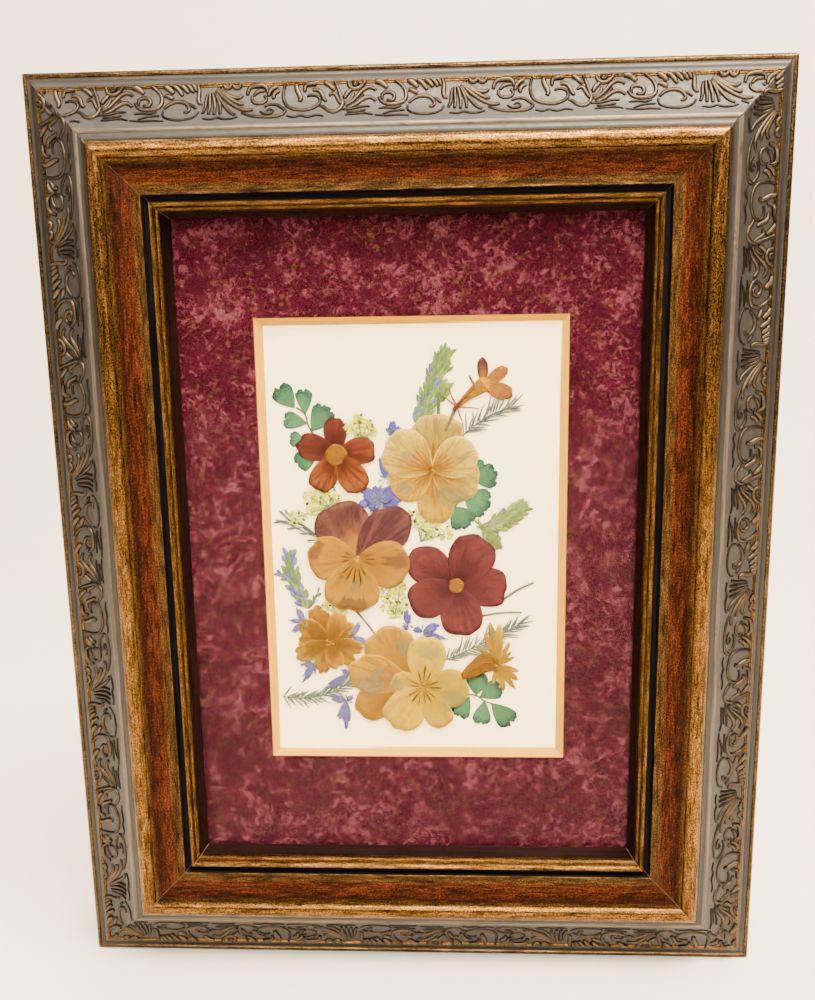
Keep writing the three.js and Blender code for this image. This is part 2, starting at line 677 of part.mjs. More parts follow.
function addStems() {
  const stems = {
    stems_left: [
      stemShape([[-20, 17.2], [-18.9, 14.6], [-17.6, 11]], 0.4),
      stemShape([[-17.6, 11], [-19.8, 12.6], [-21.2, 15.4]], 0.3),
    ],
    stem_right: [stemShape([[22.4, -14.3], [30.8, -9.4]], 0.45)],
    stem_lower_right: [stemShape([[17.6, -18.2], [27.8, -17.3]], 0.35)],
    stem_centre: [stemShape([[-15.6, -15.6], [-9, -24.2]], 0.4)],
  };
  for (const [name, shapes] of Object.entries(stems)) addSpecimen(name, 'stem', 0, shapes);
}

// ---------------------------------------------------------------- the whole frame

addRails();
addStack();
addBack();
addFerns();
addSprigs();
addStems();
addUmbels();
addBlueFlorets();
addBlooms();
addFlowers();

// The face group stands up on the bottom rail, centred over its footprint from hanger to crest.
face.rotation.x = Math.PI / 2;
face.position.set(0, (CREST_HEIGHT + hangerBack) / 2, FRAME_HEIGHT / 2);

const frame = new THREE.Group();
frame.add(face);
export default frame;
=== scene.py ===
"""A small picture frame of pressed flowers under glass.

The frame stands on its bottom rail and faces -Y. Every piece is laid out in face millimetres: x to
the right, y up and z towards the viewer, from the middle of the plane of the outer edges.
"""
import math
import random

import bmesh
import bpy
from bpy.props import FloatProperty, FloatVectorProperty, IntProperty, PointerProperty
from mathutils import Matrix, Vector, noise


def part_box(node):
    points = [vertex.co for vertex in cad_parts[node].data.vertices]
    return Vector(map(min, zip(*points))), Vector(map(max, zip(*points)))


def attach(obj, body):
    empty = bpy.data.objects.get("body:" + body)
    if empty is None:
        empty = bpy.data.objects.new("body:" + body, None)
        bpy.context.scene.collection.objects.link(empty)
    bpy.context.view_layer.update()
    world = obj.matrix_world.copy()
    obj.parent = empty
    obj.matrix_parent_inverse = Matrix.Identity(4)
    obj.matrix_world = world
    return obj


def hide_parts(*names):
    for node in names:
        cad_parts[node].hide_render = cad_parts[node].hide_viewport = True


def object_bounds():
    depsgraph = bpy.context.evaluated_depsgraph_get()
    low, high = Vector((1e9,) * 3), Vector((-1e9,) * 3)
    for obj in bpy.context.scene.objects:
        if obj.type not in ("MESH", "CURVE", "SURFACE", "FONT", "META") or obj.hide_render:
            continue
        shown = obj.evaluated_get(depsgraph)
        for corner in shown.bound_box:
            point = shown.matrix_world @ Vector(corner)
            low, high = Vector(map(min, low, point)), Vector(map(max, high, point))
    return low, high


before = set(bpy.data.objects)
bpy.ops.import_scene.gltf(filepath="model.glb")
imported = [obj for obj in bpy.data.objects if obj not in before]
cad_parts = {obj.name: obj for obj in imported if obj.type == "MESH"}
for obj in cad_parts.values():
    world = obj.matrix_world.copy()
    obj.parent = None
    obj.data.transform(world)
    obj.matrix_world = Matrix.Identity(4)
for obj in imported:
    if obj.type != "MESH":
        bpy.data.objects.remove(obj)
CAD_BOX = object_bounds()

bl_info = {
    "name": "Pressed flower frame",
    "version": (1, 0, 0),
    "blender": (4, 5, 0),
    "location": "View3D > Sidebar > Pressed flowers",
    "description": "Builds a small scroll-moulded frame with pressed flowers in a marbled mat",
    "category": "Add Mesh",
}

MM = 0.001
CREST = 9.9  # the highest line of the moulding, in front of the plane of the outer edges
HALF_WIDTH = CAD_BOX[1].x / MM
HALF_HEIGHT = CAD_BOX[1].z / MM / 2
OUTER_PLANE = CAD_BOX[0].y / MM + CREST
MITRE_GAP = 0.106  # left free at each end of a rail, along it
REBATE_INSET = 24.6
REBATE_FRONT = 1.8
SIDE_DEPTH = 19
PRESSED = 0.07  # how thick a pressed petal, leaf or stem is
GOLDEN_ANGLE = 2.39996  # in radians; turns by it fill a disc evenly


def place(x, y, z):
    """Face millimetres to the frame's own metres."""
    return Vector((x * MM, (OUTER_PLANE - z) * MM, (y + HALF_HEIGHT) * MM))


def depths(node):
    """The back and front of a flat CAD node, in face millimetres."""
    low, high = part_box(node)
    return OUTER_PLANE - high.y / MM, OUTER_PLANE - low.y / MM


# ------------------------------------------------------------------------------------ node trees


class Nodes:
    """Adds and links nodes in one tree, so that a recipe reads from top to bottom."""

    def __init__(self, tree):
        self.tree = tree

    def feed(self, socket, value):
        if isinstance(value, bpy.types.NodeSocket):
            self.tree.links.new(value, socket)
        elif value is not None:
            socket.default_value = value

    def add(self, kind, inputs=(), output=0, **settings):
        """inputs is a list in socket order, or a dictionary by socket number or name."""
        node = self.tree.nodes.new(kind)
        for key, value in settings.items():
            setattr(node, key, value)
        numbered = inputs.items() if isinstance(inputs, dict) else enumerate(inputs)
        for key, value in numbered:
            self.feed(node.inputs[key], value)
        return node.outputs[output]

    def math(self, operation, *values):
        return self.add("ShaderNodeMath", values, operation=operation)

    def vector(self, operation, *values, output=0):
        return self.add("ShaderNodeVectorMath", values, output, operation=operation)

    def combine(self, x=0.0, y=0.0, z=0.0):
        return self.add("ShaderNodeCombineXYZ", (x, y, z))

    def axis(self, vector, number):
        return self.add("ShaderNodeSeparateXYZ", (vector,), number)


class Finish(Nodes):
    """A procedural material. Constant values go straight to the shader's own sockets."""

    def __init__(self, name, **constants):
        self.material = bpy.data.materials.new(name)
        self.material.use_nodes = True
        super().__init__(self.material.node_tree)
        self.shader = self.tree.nodes["Principled BSDF"]
        for key, value in constants.items():
            self.shader.inputs[key.replace("_", " ")].default_value = value

    def set(self, **links):
        for key, value in links.items():
            self.feed(self.shader.inputs[key.replace("_", " ")], value)
        return self.material

    def millimetres(self, scale=(1, 1, 1)):
        """Object coordinates in millimetres, stretched by scale."""
        spot = self.add("ShaderNodeTexCoord", output=3)
        return self.vector("MULTIPLY", spot, tuple(s / MM for s in scale))

    def own(self):
        """The place that a piece carries along its own surface."""
        return self.add("ShaderNodeAttribute", output=1, attribute_name="place")

    def noise(self, vector, scale, detail=3.0, rough=0.5, warp=0.0, output=0):
        inputs = {"Vector": vector, "Scale": scale, "Detail": detail, "Roughness": rough, "Distortion": warp}
        return self.add("ShaderNodeTexNoise", inputs, output)

    def cells(self, vector, scale, feature="F1"):
        return self.add("ShaderNodeTexVoronoi", {"Vector": vector, "Scale": scale}, feature=feature)

    def ramp(self, factor, *stops):
        """stops are (position, value or colour)."""
        socket = self.add("ShaderNodeValToRGB", (factor,))
        band = socket.node.color_ramp
        band.elements.remove(band.elements[1])
        for number, (position, tint) in enumerate(stops):
            element = band.elements.new(position) if number else band.elements[0]
            element.position = position
            element.color = (tint,) * 3 + (1,) if isinstance(tint, (int, float)) else (*tuple(tint)[:3], 1)
        return socket

    def mix(self, factor, a, b, blend="MIX"):
        a, b = (v if isinstance(v, bpy.types.NodeSocket) else (*tuple(v)[:3], 1) for v in (a, b))
        inputs = {0: factor, 6: a, 7: b}
        return self.add("ShaderNodeMix", inputs, 2, data_type="RGBA", blend_type=blend)

    def shade(self, tint, low, high, factor):
        """tint times a grey that runs from low to high as factor runs from 0 to 1."""
        return self.mix(1.0, tint, self.ramp(factor, (0, low), (1, high)), "MULTIPLY")

    def bump(self, height, strength, distance):
        """distance is in millimetres."""
        return self.add("ShaderNodeBump", {"Strength": strength, "Distance": distance * MM, "Height": height})


# ------------------------------------------------------------------------------------ meshes


class Surface:
    """Gathers one piece's points and faces in face millimetres.

    Each point also carries a place of three numbers, which its material follows.
    """

    def __init__(self):
        self.points, self.places, self.faces, self.slots = [], [], [], []

    def grid(self, rows, places, slot=0):
        """Skins rows of points that all have the same length."""
        start, width = len(self.points), len(rows[0])
        for row, marks in zip(rows, places):
            self.points += row
            self.places += marks
        for i in range(len(rows) - 1):
            for j in range(width - 1):
                a = start + i * width + j
                self.faces.append((a, a + 1, a + width + 1, a + width))
                self.slots.append(slot)

    def polygon(self, corners, marks, slot=0):
        start = len(self.points)
        self.points += corners
        self.places += marks
        self.faces.append(tuple(range(start, len(self.points))))
        self.slots.append(slot)

    def patch(self, base, outline, height, rings=6, tone=0.5, sag=0.0, slot=0):
        """Skins an outline that can be seen whole from its base, in rings about that base.

        A point's place is its bearing from the base, how far out it is, and the patch's tone.
        """
        pole = len(self.points)
        first = math.atan2(outline[0][1] - base[1], outline[0][0] - base[0])
        bearings, last = [], first
        for x, y in outline:
            turn = math.atan2(y - base[1], x - base[0])
            last += (turn - last + math.pi) % (2 * math.pi) - math.pi
            bearings.append(last)
        span = max(bearings) - min(bearings) or 1.0
        self.points.append((base[0], base[1], height))
        self.places.append((0.5, 0.0, tone))
        for ring in range(1, rings + 1):
            s = ring / rings
            for (x, y), bearing in zip(outline, bearings):
                across = (bearing - min(bearings)) / span
                fall = sag * s * s * (0.6 + 0.4 * math.cos(9 * across + 7 * tone))
                self.points.append((base[0] + s * (x - base[0]), base[1] + s * (y - base[1]), height - fall))
                self.places.append((across, s, tone))
        count = len(outline)
        for j in range(count - 1):
            self.faces.append((pole, pole + 1 + j, pole + 2 + j))
            self.slots.append(slot)
            for ring in range(rings - 1):
                a = pole + 1 + ring * count + j
                self.faces.append((a, a + count, a + count + 1, a + 1))
                self.slots.append(slot)

    def ribbon(self, line, half_widths, height, tone=0.5, slot=0, across=4, crown=0.0):
        """A flat strip along a line; it lies crown higher in its middle than at its edges."""
        rows, marks = [], []
        for i, (x, y) in enumerate(line):
            before, after = line[max(i - 1, 0)], line[min(i + 1, len(line) - 1)]
            way = Vector((after[0] - before[0], after[1] - before[1])).normalized()
            half = half_widths[i]
            row, mark = [], []
            for j in range(across + 1):
                t = 1 - 2 * j / across
                rise = crown * (1 - t * t)
                row.append((x - way.y * half * t, y + way.x * half * t, height + rise))
                mark.append((j / across, i / (len(line) - 1), tone))
            rows.append(row)
            marks.append(mark)
        self.grid([row[::-1] for row in rows], marks, slot)

    def piece(self, name, materials, thickness=0.0, sharp=35.0, recalculate=False, to=place):
        """Makes the object. Edges that turn more than sharp degrees stay crisp."""
        mesh = bpy.data.meshes.new(name)
        mesh.from_pydata([to(*point) for point in self.points], [], self.faces)
        mesh.polygons.foreach_set("material_index", self.slots)
        marks = mesh.attributes.new("place", "FLOAT_VECTOR", "POINT")
        marks.data.foreach_set("vector", [value for mark in self.places for value in mark])
        for material in materials:
            mesh.materials.append(material)
        body = bmesh.new()
        body.from_mesh(mesh)
        bmesh.ops.remove_doubles(body, verts=body.verts, dist=1e-7)
        bmesh.ops.dissolve_degenerate(body, dist=1e-8, edges=body.edges)
        if recalculate:
            bmesh.ops.recalc_face_normals(body, faces=body.faces)
        for face in body.faces:
            face.smooth = True
        for edge in body.edges:
            if edge.is_manifold and edge.calc_face_angle() > math.radians(sharp):
                edge.smooth = False
        body.to_mesh(mesh)
        body.free()
        thing = bpy.data.objects.new(name, mesh)
        bpy.context.collection.objects.link(thing)
        if thickness:
            wall = thing.modifiers.new("thickness", "SOLIDIFY")
            wall.thickness = thickness * MM
            wall.offset = -1
        return thing


def hand_in(thing, slot, *nodes):
    """A finished piece rides on the frame and stands for its CAD nodes. Its slot is not used."""
    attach(thing, "root")
    if nodes:
        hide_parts(*nodes)
    return thing


def repaint(node, material):
    """Gives a CAD node whose shape is right its finish."""
    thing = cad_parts[node]
    thing.data.materials.clear()
    thing.data.materials.append(material)


def settings():
    return bpy.context.scene.pressed_frame


def smooth_line(points, spacing):
    """A curve through the given points, as points about spacing apart."""
    ends = [points[0], *points, points[-1]]
    line = []
    for a, b, c, d in zip(ends, ends[1:], ends[2:], ends[3:]):
        steps = max(2, round(math.dist(b[:2], c[:2]) / spacing))
        for i in range(steps):
            t = i / steps
            line.append(tuple(
                0.5 * (2 * q + (r - p) * t + (2 * p - 5 * q + 4 * r - s) * t * t + (3 * q - p - 3 * r + s) * t**3)
                for p, q, r, s in zip(a, b, c, d)
            ))
    line.append(tuple(points[-1]))
    return line


# ------------------------------------------------------------------------------------ moulding

# The section of the moulding from the outer edge inwards: a finish, then (inset, height) points.
# Two points make a straight run and three make a curve that the middle one pulls.
SECTION = (
    ("side", (0, -SIDE_DEPTH), (0, -0.6)),
    ("copper", (0, -0.6), (0.6, 0.4), (1.2, -0.3)),
    ("pewter", (1.2, -0.3), (2, -0.5), (2.9, 0.8)),
    ("pewter", (2.9, 0.8), (3.5, 1.1)),
    ("line", (3.5, 1.1), (3.75, 1.65), (4, 1.35)),
    ("line", (4, 1.35), (4.25, 1.8), (4.5, 1.4)),
    ("ground", (4.5, 1.4), (9.6, 2.7), (13.4, 6.5)),
    ("fillet", (13.4, 6.5), (13.9, 6.85), (14.4, 6.7)),
    ("pewter", (14.4, 6.7), (15.9, 6.8), (16.1, 8.3)),
    ("copper", (16.1, 8.3), (16.8, CREST), (18.6, CREST)),
    ("copper", (18.6, CREST), (19.8, CREST), (20.4, 8.8)),
    ("scoop", (20.4, 8.8), (24, 7.2), (27.9, 7.5)),
    ("line", (27.9, 7.5), (28.1, 7.7), (28.3, 7.5)),
    ("groove", (28.3, 7.5), (28.7, 6.2)),
    ("groove", (28.7, 6.2), (29.8, 6.2)),
    ("line", (29.8, 6.2), (30, 7.4), (30.2, 7.6)),
    ("copper", (30.2, 7.6), (31.1, 7.3), (31.3, 6.2)),
    ("copper", (31.3, 6.2), (32.1, 6.1), (32.3, 4.9)),
    ("wall", (32.3, 4.9), (33.5, REBATE_FRONT)),
    ("bare", (33.5, REBATE_FRONT), (REBATE_INSET, REBATE_FRONT)),
    ("bare", (REBATE_INSET, REBATE_FRONT), (REBATE_INSET, -SIDE_DEPTH)),
    ("bare", (REBATE_INSET, -SIDE_DEPTH), (0, -SIDE_DEPTH)),
)
ZONES = ("side", "copper", "pewter", "line", "ground", "fillet", "scoop", "groove", "wall", "bare")

# Each rail: the way the scrolls run, the way in from its outer edge, and the scrolls' shift.
RAILS = {
    "top": ((1, 0), (0, -1), 0.0),
    "right": ((0, -1), (-1, 0), -2.9),
    "bottom": ((-1, 0), (0, 1), 5.9),
    "left": ((0, 1), (1, 0), 5.8),
}


def section_run(run, steps=8):
    """The points along one straight or curved run of the section."""
    if len(run) == 2:
        return [run[0], run[1]]
    (ax, ay), (bx, by), (cx, cy) = run
    weights = [((1 - t) ** 2, 2 * t * (1 - t), t * t) for t in (i / steps for i in range(steps + 1))]
    return [(p * ax + q * bx + r * cx, p * ay + q * by + r * cy) for p, q, r in weights]


def ground_height(inset):
    """The height of the ornament's ground at an inset."""
    runs = [section_run(run[1:], 24) for run in SECTION[4:8]]
    points = [point for run in runs for point in run]
    for (a, low), (b, high) in zip(points, points[1:]):
        if a <= inset <= b and b > a:
            return low + (high - low) * (inset - a) / (b - a)
    return points[0][1] if inset < points[0][0] else points[-1][1]


def rail_frame(side):
    """Half the rail's length, and where a spot on it lies: along, inset and height to the face."""
    along, inward, _ = RAILS[side]
    reach = HALF_HEIGHT if along[1] else HALF_WIDTH
    edge = HALF_WIDTH if along[1] else HALF_HEIGHT

    def spot(u, inset, height):
        x = along[0] * u + inward[0] * (inset - edge)
        y = along[1] * u + inward[1] * (inset - edge)
        return x, y, height

    return reach, spot


def build_rail(side, finishes):
    reach, spot = rail_frame(side)
    rail = Surface()
    steps = 12
    shift = 400 * list(RAILS).index(side)  # so that no two rails are streaked alike
    for zone, *run in SECTION:
        points = section_run(run)
        rows, marks = [], []
        for i in range(steps + 1):
            u = [(2 * i / steps - 1) * (reach - inset - MITRE_GAP) for inset, _ in points]
            rows.append([spot(a, inset, height) for a, (inset, height) in zip(u, points)])
            marks.append([(a + shift, inset, height) for a, (inset, height) in zip(u, points)])
        rail.grid(rows, marks, ZONES.index(zone))
    outline = [point for zone, *run in SECTION for point in section_run(run)[:-1]]
    for end in (-1, 1):
        along = [end * (reach - inset - MITRE_GAP) for inset, _ in outline]
        corners = [spot(u, inset, height) for u, (inset, height) in zip(along, outline)]
        marks = [(u + shift, inset, height) for u, (inset, height) in zip(along, outline)]
        rail.polygon(corners, marks, ZONES.index("bare"))
    thing = rail.piece(f"moulding_{side}", [finishes[z] for z in ZONES], recalculate=True, sharp=30)
    return hand_in(thing, "moulding", f"rail_{side}")


# The strokes of one repeat of the scrollwork, as (along, inset) points; the number is the girth.
SCROLL_PITCH = 56.1
SCROLLS = (
    (0.30, (-26.9, 4), (-27.2, 5), (-27.4, 6.5), (-27.2, 8), (-26.6, 9.1), (-25.3, 9.9), (-23.7, 10.25),
     (-22.1, 10.3), (-20.6, 9.9), (-19.5, 9.3), (-19, 8.5), (-19.1, 7.6), (-19.8, 7), (-20.9, 6.85), (-22, 7.1)),
    (0.42, (-24.3, 4.1), (-24.4, 5), (-24.1, 6), (-23.6, 6.9), (-23.4, 7.7), (-23.7, 8.3)),
    (0.36, (-22.5, 6.1), (-22.5, 5.3), (-22.1, 4.5), (-21.2, 4.3), (-19.8, 4.3)),
    (0.38, (-20.7, 5.75), (-19.7, 5.7), (-18.9, 6.1), (-18.4, 7), (-18, 7.9), (-17.5, 8.4)),
    (0.40, (-17.9, 4), (-17.1, 4.5), (-16.3, 5.2), (-15.7, 5.9)),
    (0.34, (-15.6, 3.9), (-15.1, 5), (-14.6, 6.3), (-14.2, 7.6), (-13.8, 8.9), (-14.1, 9.9), (-14.9, 10.7),
     (-16, 10.9), (-17.2, 10.5), (-18, 9.8), (-18.9, 9.4)),
    (0.34, (-16.9, 7.1), (-16.2, 6.6), (-15.5, 6.8), (-15, 7.7), (-14.5, 8.6), (-13.9, 9.2)),
    (0.32, (-13.7, 9), (-12.7, 8.7), (-11.8, 7.9), (-11.3, 6.5)),
    (0.40, (-11.9, 5.9), (-12.8, 6.7), (-13.4, 7.8)),
    (0.36, (-12.5, 4), (-12.3, 5), (-11.5, 5.6), (-10.4, 5.6), (-9.4, 5), (-8.6, 4)),
    (0.28, (-11.3, 3.9), (-11.4, 4.5), (-10.8, 4.8), (-10.3, 4.4), (-10.5, 4)),
    (0.36, (-13.2, 9.4), (-11.7, 8.6), (-10.5, 7.4), (-9.3, 6.1), (-8, 5.4), (-6.9, 5.6), (-6.2, 6.1)),
    (0.26, (-13, 9.9), (-11.2, 9.1), (-9.9, 7.9), (-9, 6.9)),
    (0.36, (-12.6, 10.1), (-11, 9.4), (-9.8, 8.5), (-8.6, 7.8), (-7.5, 7.7), (-6.7, 8.1), (-6.2, 8.6)),
    (0.44, (-6.4, 4.1), (-5.3, 4.2), (-4.4, 4.9), (-3.6, 5.6)),
    (0.34, (-4.8, 8.2), (-4.8, 7.2), (-4.2, 6.7), (-3.2, 6.6), (-2.3, 7), (-2, 7.7), (-2.3, 8.4), (-3.1, 8.6),
     (-3.6, 8.2)),
    (0.36, (-1.8, 3.9), (-0.8, 4.7), (0.1, 5.6), (0.6, 6.8), (0.6, 8), (0, 8.9), (-1.3, 9.3), (-3, 9.4),
     (-4.4, 9.1), (-5.2, 8.4), (-5.6, 7.7)),
    (0.44, (1.2, 4), (2.3, 4.7), (3.3, 5.7)),
    (0.40, (1.2, 6.1), (2.2, 6.4), (3.3, 7)),
    (0.40, (3.1, 3.9), (4.2, 4.6), (5, 5.6), (5.4, 6.3)),
    (0.40, (5, 3.9), (5.9, 4.6), (6.8, 5.7)),
    (0.38, (6.4, 3.8), (7.2, 4.5), (7.9, 5.6)),
    (0.36, (7.7, 3.8), (8.3, 4.5), (8.6, 5.4)),
    (0.38, (8.9, 3.9), (9.2, 4.9), (9.2, 6), (9.1, 7.2), (9.4, 8.1), (10.1, 8.2)),
    (0.34, (1.3, 9.2), (2.3, 8.3), (3.6, 7.75), (5, 7.7), (6.2, 8.1), (6.8, 8.8), (7.1, 9.6), (6.6, 10.2),
     (5.9, 10.1)),
    (0.28, (6.9, 8.3), (7.8, 8.6), (8.6, 9.4)),
    (0.24, (1, 9.7), (1.1, 10.9), (2.5, 11.7), (5, 12), (7.4, 11.7), (8.8, 10.9), (9.2, 10.1)),
    (0.30, (11.2, 6.1), (10.9, 7.4), (10.8, 9), (10.2, 10.6)),
    (0.32, (11.7, 5.9), (11.7, 7.4), (11.8, 9.2), (11.6, 10.8)),
    (0.34, (12.3, 5.8), (12.7, 7.3), (13, 9.1), (12.9, 10.9)),
    (0.32, (12.9, 5.9), (13.7, 7.5), (14.2, 9.1), (14.3, 10.8)),
    (0.34, (13.3, 5.9), (14.4, 7.7), (15.6, 9.3), (16.7, 10.5), (17.9, 11.1)),
    (0.36, (13.4, 5.5), (14.9, 6.9), (16.6, 8.3), (18.6, 9.5), (20.4, 10.1), (21.8, 9.9)),
    (0.38, (13.3, 5.2), (15, 6.3), (16.8, 7.5), (18.5, 8.4), (19.7, 8.5)),
    (0.36, (13.6, 4.9), (15, 5.8), (16.4, 6.7), (17.8, 7.1), (18.8, 7), (19.3, 6.5)),
    (0.30, (13, 5.9), (13.7, 5.2), (14.2, 4.3)),
    (0.36, (14.9, 4), (15.4, 4.7), (16.3, 4.7), (16.8, 4)),
    (0.36, (17, 4), (17.6, 4.8), (18.5, 4.7), (18.9, 3.9)),
    (0.38, (20.4, 6.5), (20.6, 5.6), (21.2, 4.7), (22.5, 4.4), (24, 4.4), (24.9, 5.1), (25, 6)),
    (0.34, (21.9, 6.7), (22.5, 6), (23.5, 5.6), (24.5, 5.6)),
    (0.32, (21.5, 6.8), (21.5, 7.7), (22.3, 8.4), (23.6, 8.5), (24.6, 8.1), (24.8, 7.3), (24.3, 6.7)),
    (0.38, (25.3, 6.9), (25.5, 6), (26.3, 5.1), (27.4, 4.7)),
    (0.38, (26.6, 7.5), (26.4, 6.8), (27, 6), (27.9, 5.7)),
    (0.30, (24.4, 9.3), (25.6, 8.8), (27.2, 8.9), (28.4, 9.6), (29.2, 10.5), (28, 11.5), (25, 11.8), (21.8, 11.5),
     (19.2, 10.6)),
    (0.24, (23.5, 10.4), (24.5, 11), (26, 10.9), (26.4, 10.3), (25.6, 9.9), (25, 10.3)),
    (0.22, (-26.4, 11.6), (-24.9, 12), (-23.4, 11.6), (-21.6, 12), (-19.6, 11.6), (-18, 11.9)),
    (0.24, (-14.2, 10.4), (-11.8, 10.3), (-9.4, 9.8), (-7.5, 9.8)),
    (0.22, (-12.8, 11), (-10.8, 11), (-8.4, 10.6)),
    (0.22, (-13.2, 11.7), (-11, 11.5), (-8.6, 11.4), (-6.8, 11.8)),
    (0.22, (-5.6, 10.3), (-3.8, 10.2), (-1.8, 10.3), (-0.4, 9.9)),
    (0.22, (-4.6, 11.7), (-2.8, 11.1), (-1.2, 10.9), (0.4, 10.9)),
    (0.20, (-6.4, 11.9), (-3.8, 12.1), (-1, 12), (1.4, 12.2)),
    (0.22, (10.4, 11.8), (12.3, 12), (13.7, 11.6), (15.2, 12), (17.2, 11.9), (18.4, 11.5)),
)


def scroll_strokes():
    """One repeat of the strokes as bare lines, each point with its girth and its bed height."""
    points, edges, girths, beds = [], [], [], []
    for girth, *stroke in SCROLLS:
        line = smooth_line(stroke, 0.42)
        for i, (u, inset) in enumerate(line):
            t = i / (len(line) - 1)
            swell = 0.45 + 0.55 * math.sin(math.pi * (0.12 + 0.76 * t)) ** 0.6
            bed = ground_height(inset)
            if i:
                edges.append((len(points) - 1, len(points)))
            points.append((u * MM, -inset * MM, (bed - 0.25 * girth) * MM))
            girths.append(1.65 * girth * swell * MM)
            beds.append(bed * MM)
    mesh = bpy.data.meshes.new("scroll_strokes")
    mesh.from_pydata(points, edges, [])
    mesh.attributes.new("girth", "FLOAT", "POINT").data.foreach_set("value", girths)
    mesh.attributes.new("bed", "FLOAT", "POINT").data.foreach_set("value", beds)
    return mesh


def scroll_tree():
    """Repeats the strokes along a rail, cuts them at the mitres and gives them a round body."""
    tree = bpy.data.node_groups.new("scrollwork", "GeometryNodeTree")
    for name, kind in (
        ("Strokes", "NodeSocketGeometry"), ("Pitch", "NodeSocketFloat"), ("Shift", "NodeSocketFloat"),
        ("Half Length", "NodeSocketFloat"), ("Repeats", "NodeSocketInt"), ("Sides", "NodeSocketInt"),
        ("Finish", "NodeSocketMaterial"),
    ):
        tree.interface.new_socket(name, in_out="INPUT", socket_type=kind)
    tree.interface.new_socket("Scrollwork", in_out="OUTPUT", socket_type="NodeSocketGeometry")
    n = Nodes(tree)
    given = tree.nodes.new("NodeGroupInput").outputs
    first = n.math("SUBTRACT", given["Shift"], n.math("MULTIPLY", given["Pitch"], 2.0))
    spots = n.add("GeometryNodeMeshLine", {
        "Count": given["Repeats"], "Start Location": n.combine(first), "Offset": n.combine(given["Pitch"])})
    repeats = n.add("GeometryNodeInstanceOnPoints", {"Points": spots, "Instance": given["Strokes"]})
    whole = n.add("GeometryNodeRealizeInstances", (repeats,))
    position = n.add("GeometryNodeInputPosition")
    end = n.math("ADD", given["Half Length"], n.axis(position, 1))
    past = n.math("GREATER_THAN", n.math("ABSOLUTE", n.axis(position, 0)), n.math("SUBTRACT", end, 0.0003))
    kept = n.add("GeometryNodeDeleteGeometry", (whole, past))
    lines = n.add("GeometryNodeMeshToCurve", (kept,))
    girth = n.add("GeometryNodeInputNamedAttribute", ("girth",), data_type="FLOAT")
    ring = n.add("GeometryNodeCurvePrimitiveCircle", {"Resolution": given["Sides"], "Radius": 1.0})
    body = n.add("GeometryNodeCurveToMesh", {"Curve": lines, "Profile Curve": ring, "Scale": girth,
                                             "Fill Caps": True})
    bed = n.add("GeometryNodeInputNamedAttribute", ("bed",), data_type="FLOAT")
    rise = n.math("SUBTRACT", n.axis(position, 2), bed)
    spot = n.vector("MULTIPLY", n.combine(n.axis(position, 0), n.axis(position, 1), rise), (1 / MM,) * 3)
    marked = n.add("GeometryNodeStoreNamedAttribute", {0: body, "Name": "place", "Value": spot},
                   data_type="FLOAT_VECTOR")
    soft = n.add("GeometryNodeSetShadeSmooth", (marked,))
    real = n.add("GeometryNodeRealizeInstances", (soft,))
    painted = n.add("GeometryNodeSetMaterial", {"Geometry": real, "Material": given["Finish"]})
    n.feed(tree.nodes.new("NodeGroupOutput").inputs[0], painted)
    return tree


def grown(name, mesh, tree, values, turn):
    """The plain mesh that a node tree makes from a starting mesh, turned, as a new object."""
    host = bpy.data.objects.new(f"{name}_host", mesh)
    bpy.context.collection.objects.link(host)
    modifier = host.modifiers.new("grow", "NODES")
    modifier.node_group = tree
    for item in tree.interface.items_tree:
        if item.in_out == "INPUT" and item.name in values:
            modifier[item.identifier] = values[item.name]
    bpy.context.view_layer.update()
    graph = bpy.context.evaluated_depsgraph_get()
    made = bpy.data.meshes.new_from_object(host.evaluated_get(graph), preserve_all_data_layers=True,
                                           depsgraph=graph)
    made.name = name
    made.transform(turn)
    bpy.data.objects.remove(host)
    thing = bpy.data.objects.new(name, made)
    bpy.context.collection.objects.link(thing)
    return thing


def moulding_finish(name, dark, light, fleck, metal, rough, mottle=0.5, streak=0.5, gloss=0.5):
    """A wiped finish: streaks run along the rail, with darker mottles and fine flecks in it."""
    f = Finish(name, Metallic=metal, Specular_IOR_Level=gloss)
    spot = f.own()
    drawn = f.noise(f.vector("MULTIPLY", spot, (0.05, 1.6, 1.6)), 1.0, 6, 0.65)
    patch = f.noise(f.vector("MULTIPLY", spot, (0.22, 0.45, 0.45)), 1.0, 5, 0.7, 0.6)
    grain = f.noise(f.vector("MULTIPLY", spot, (1.6, 5.0, 5.0)), 1.0, 4, 0.7)
    body = f.mix(f.ramp(drawn, (0.5 - streak / 4, 0), (0.5 + streak / 4, 1)), dark, light)
    body = f.mix(f.ramp(patch, (0.62 - mottle / 5, 0), (0.72, 0.85)), body, [c * 0.35 for c in dark])
    body = f.mix(f.ramp(grain, (0.64, 0), (0.78, 0.7)), body, fleck)
    body = f.mix(f.ramp(grain, (0.26, 0.6), (0.36, 0)), body, [c * 0.25 for c in dark])
    shine = f.ramp(f.noise(spot, 0.8, 4, 0.7), (0.3, rough - 0.1), (0.7, rough + 0.14))
    height = f.math("ADD", grain, f.math("MULTIPLY", drawn, 0.6))
    return f.set(Base_Color=body, Roughness=shine, Normal=f.bump(height, 0.25, 0.08))


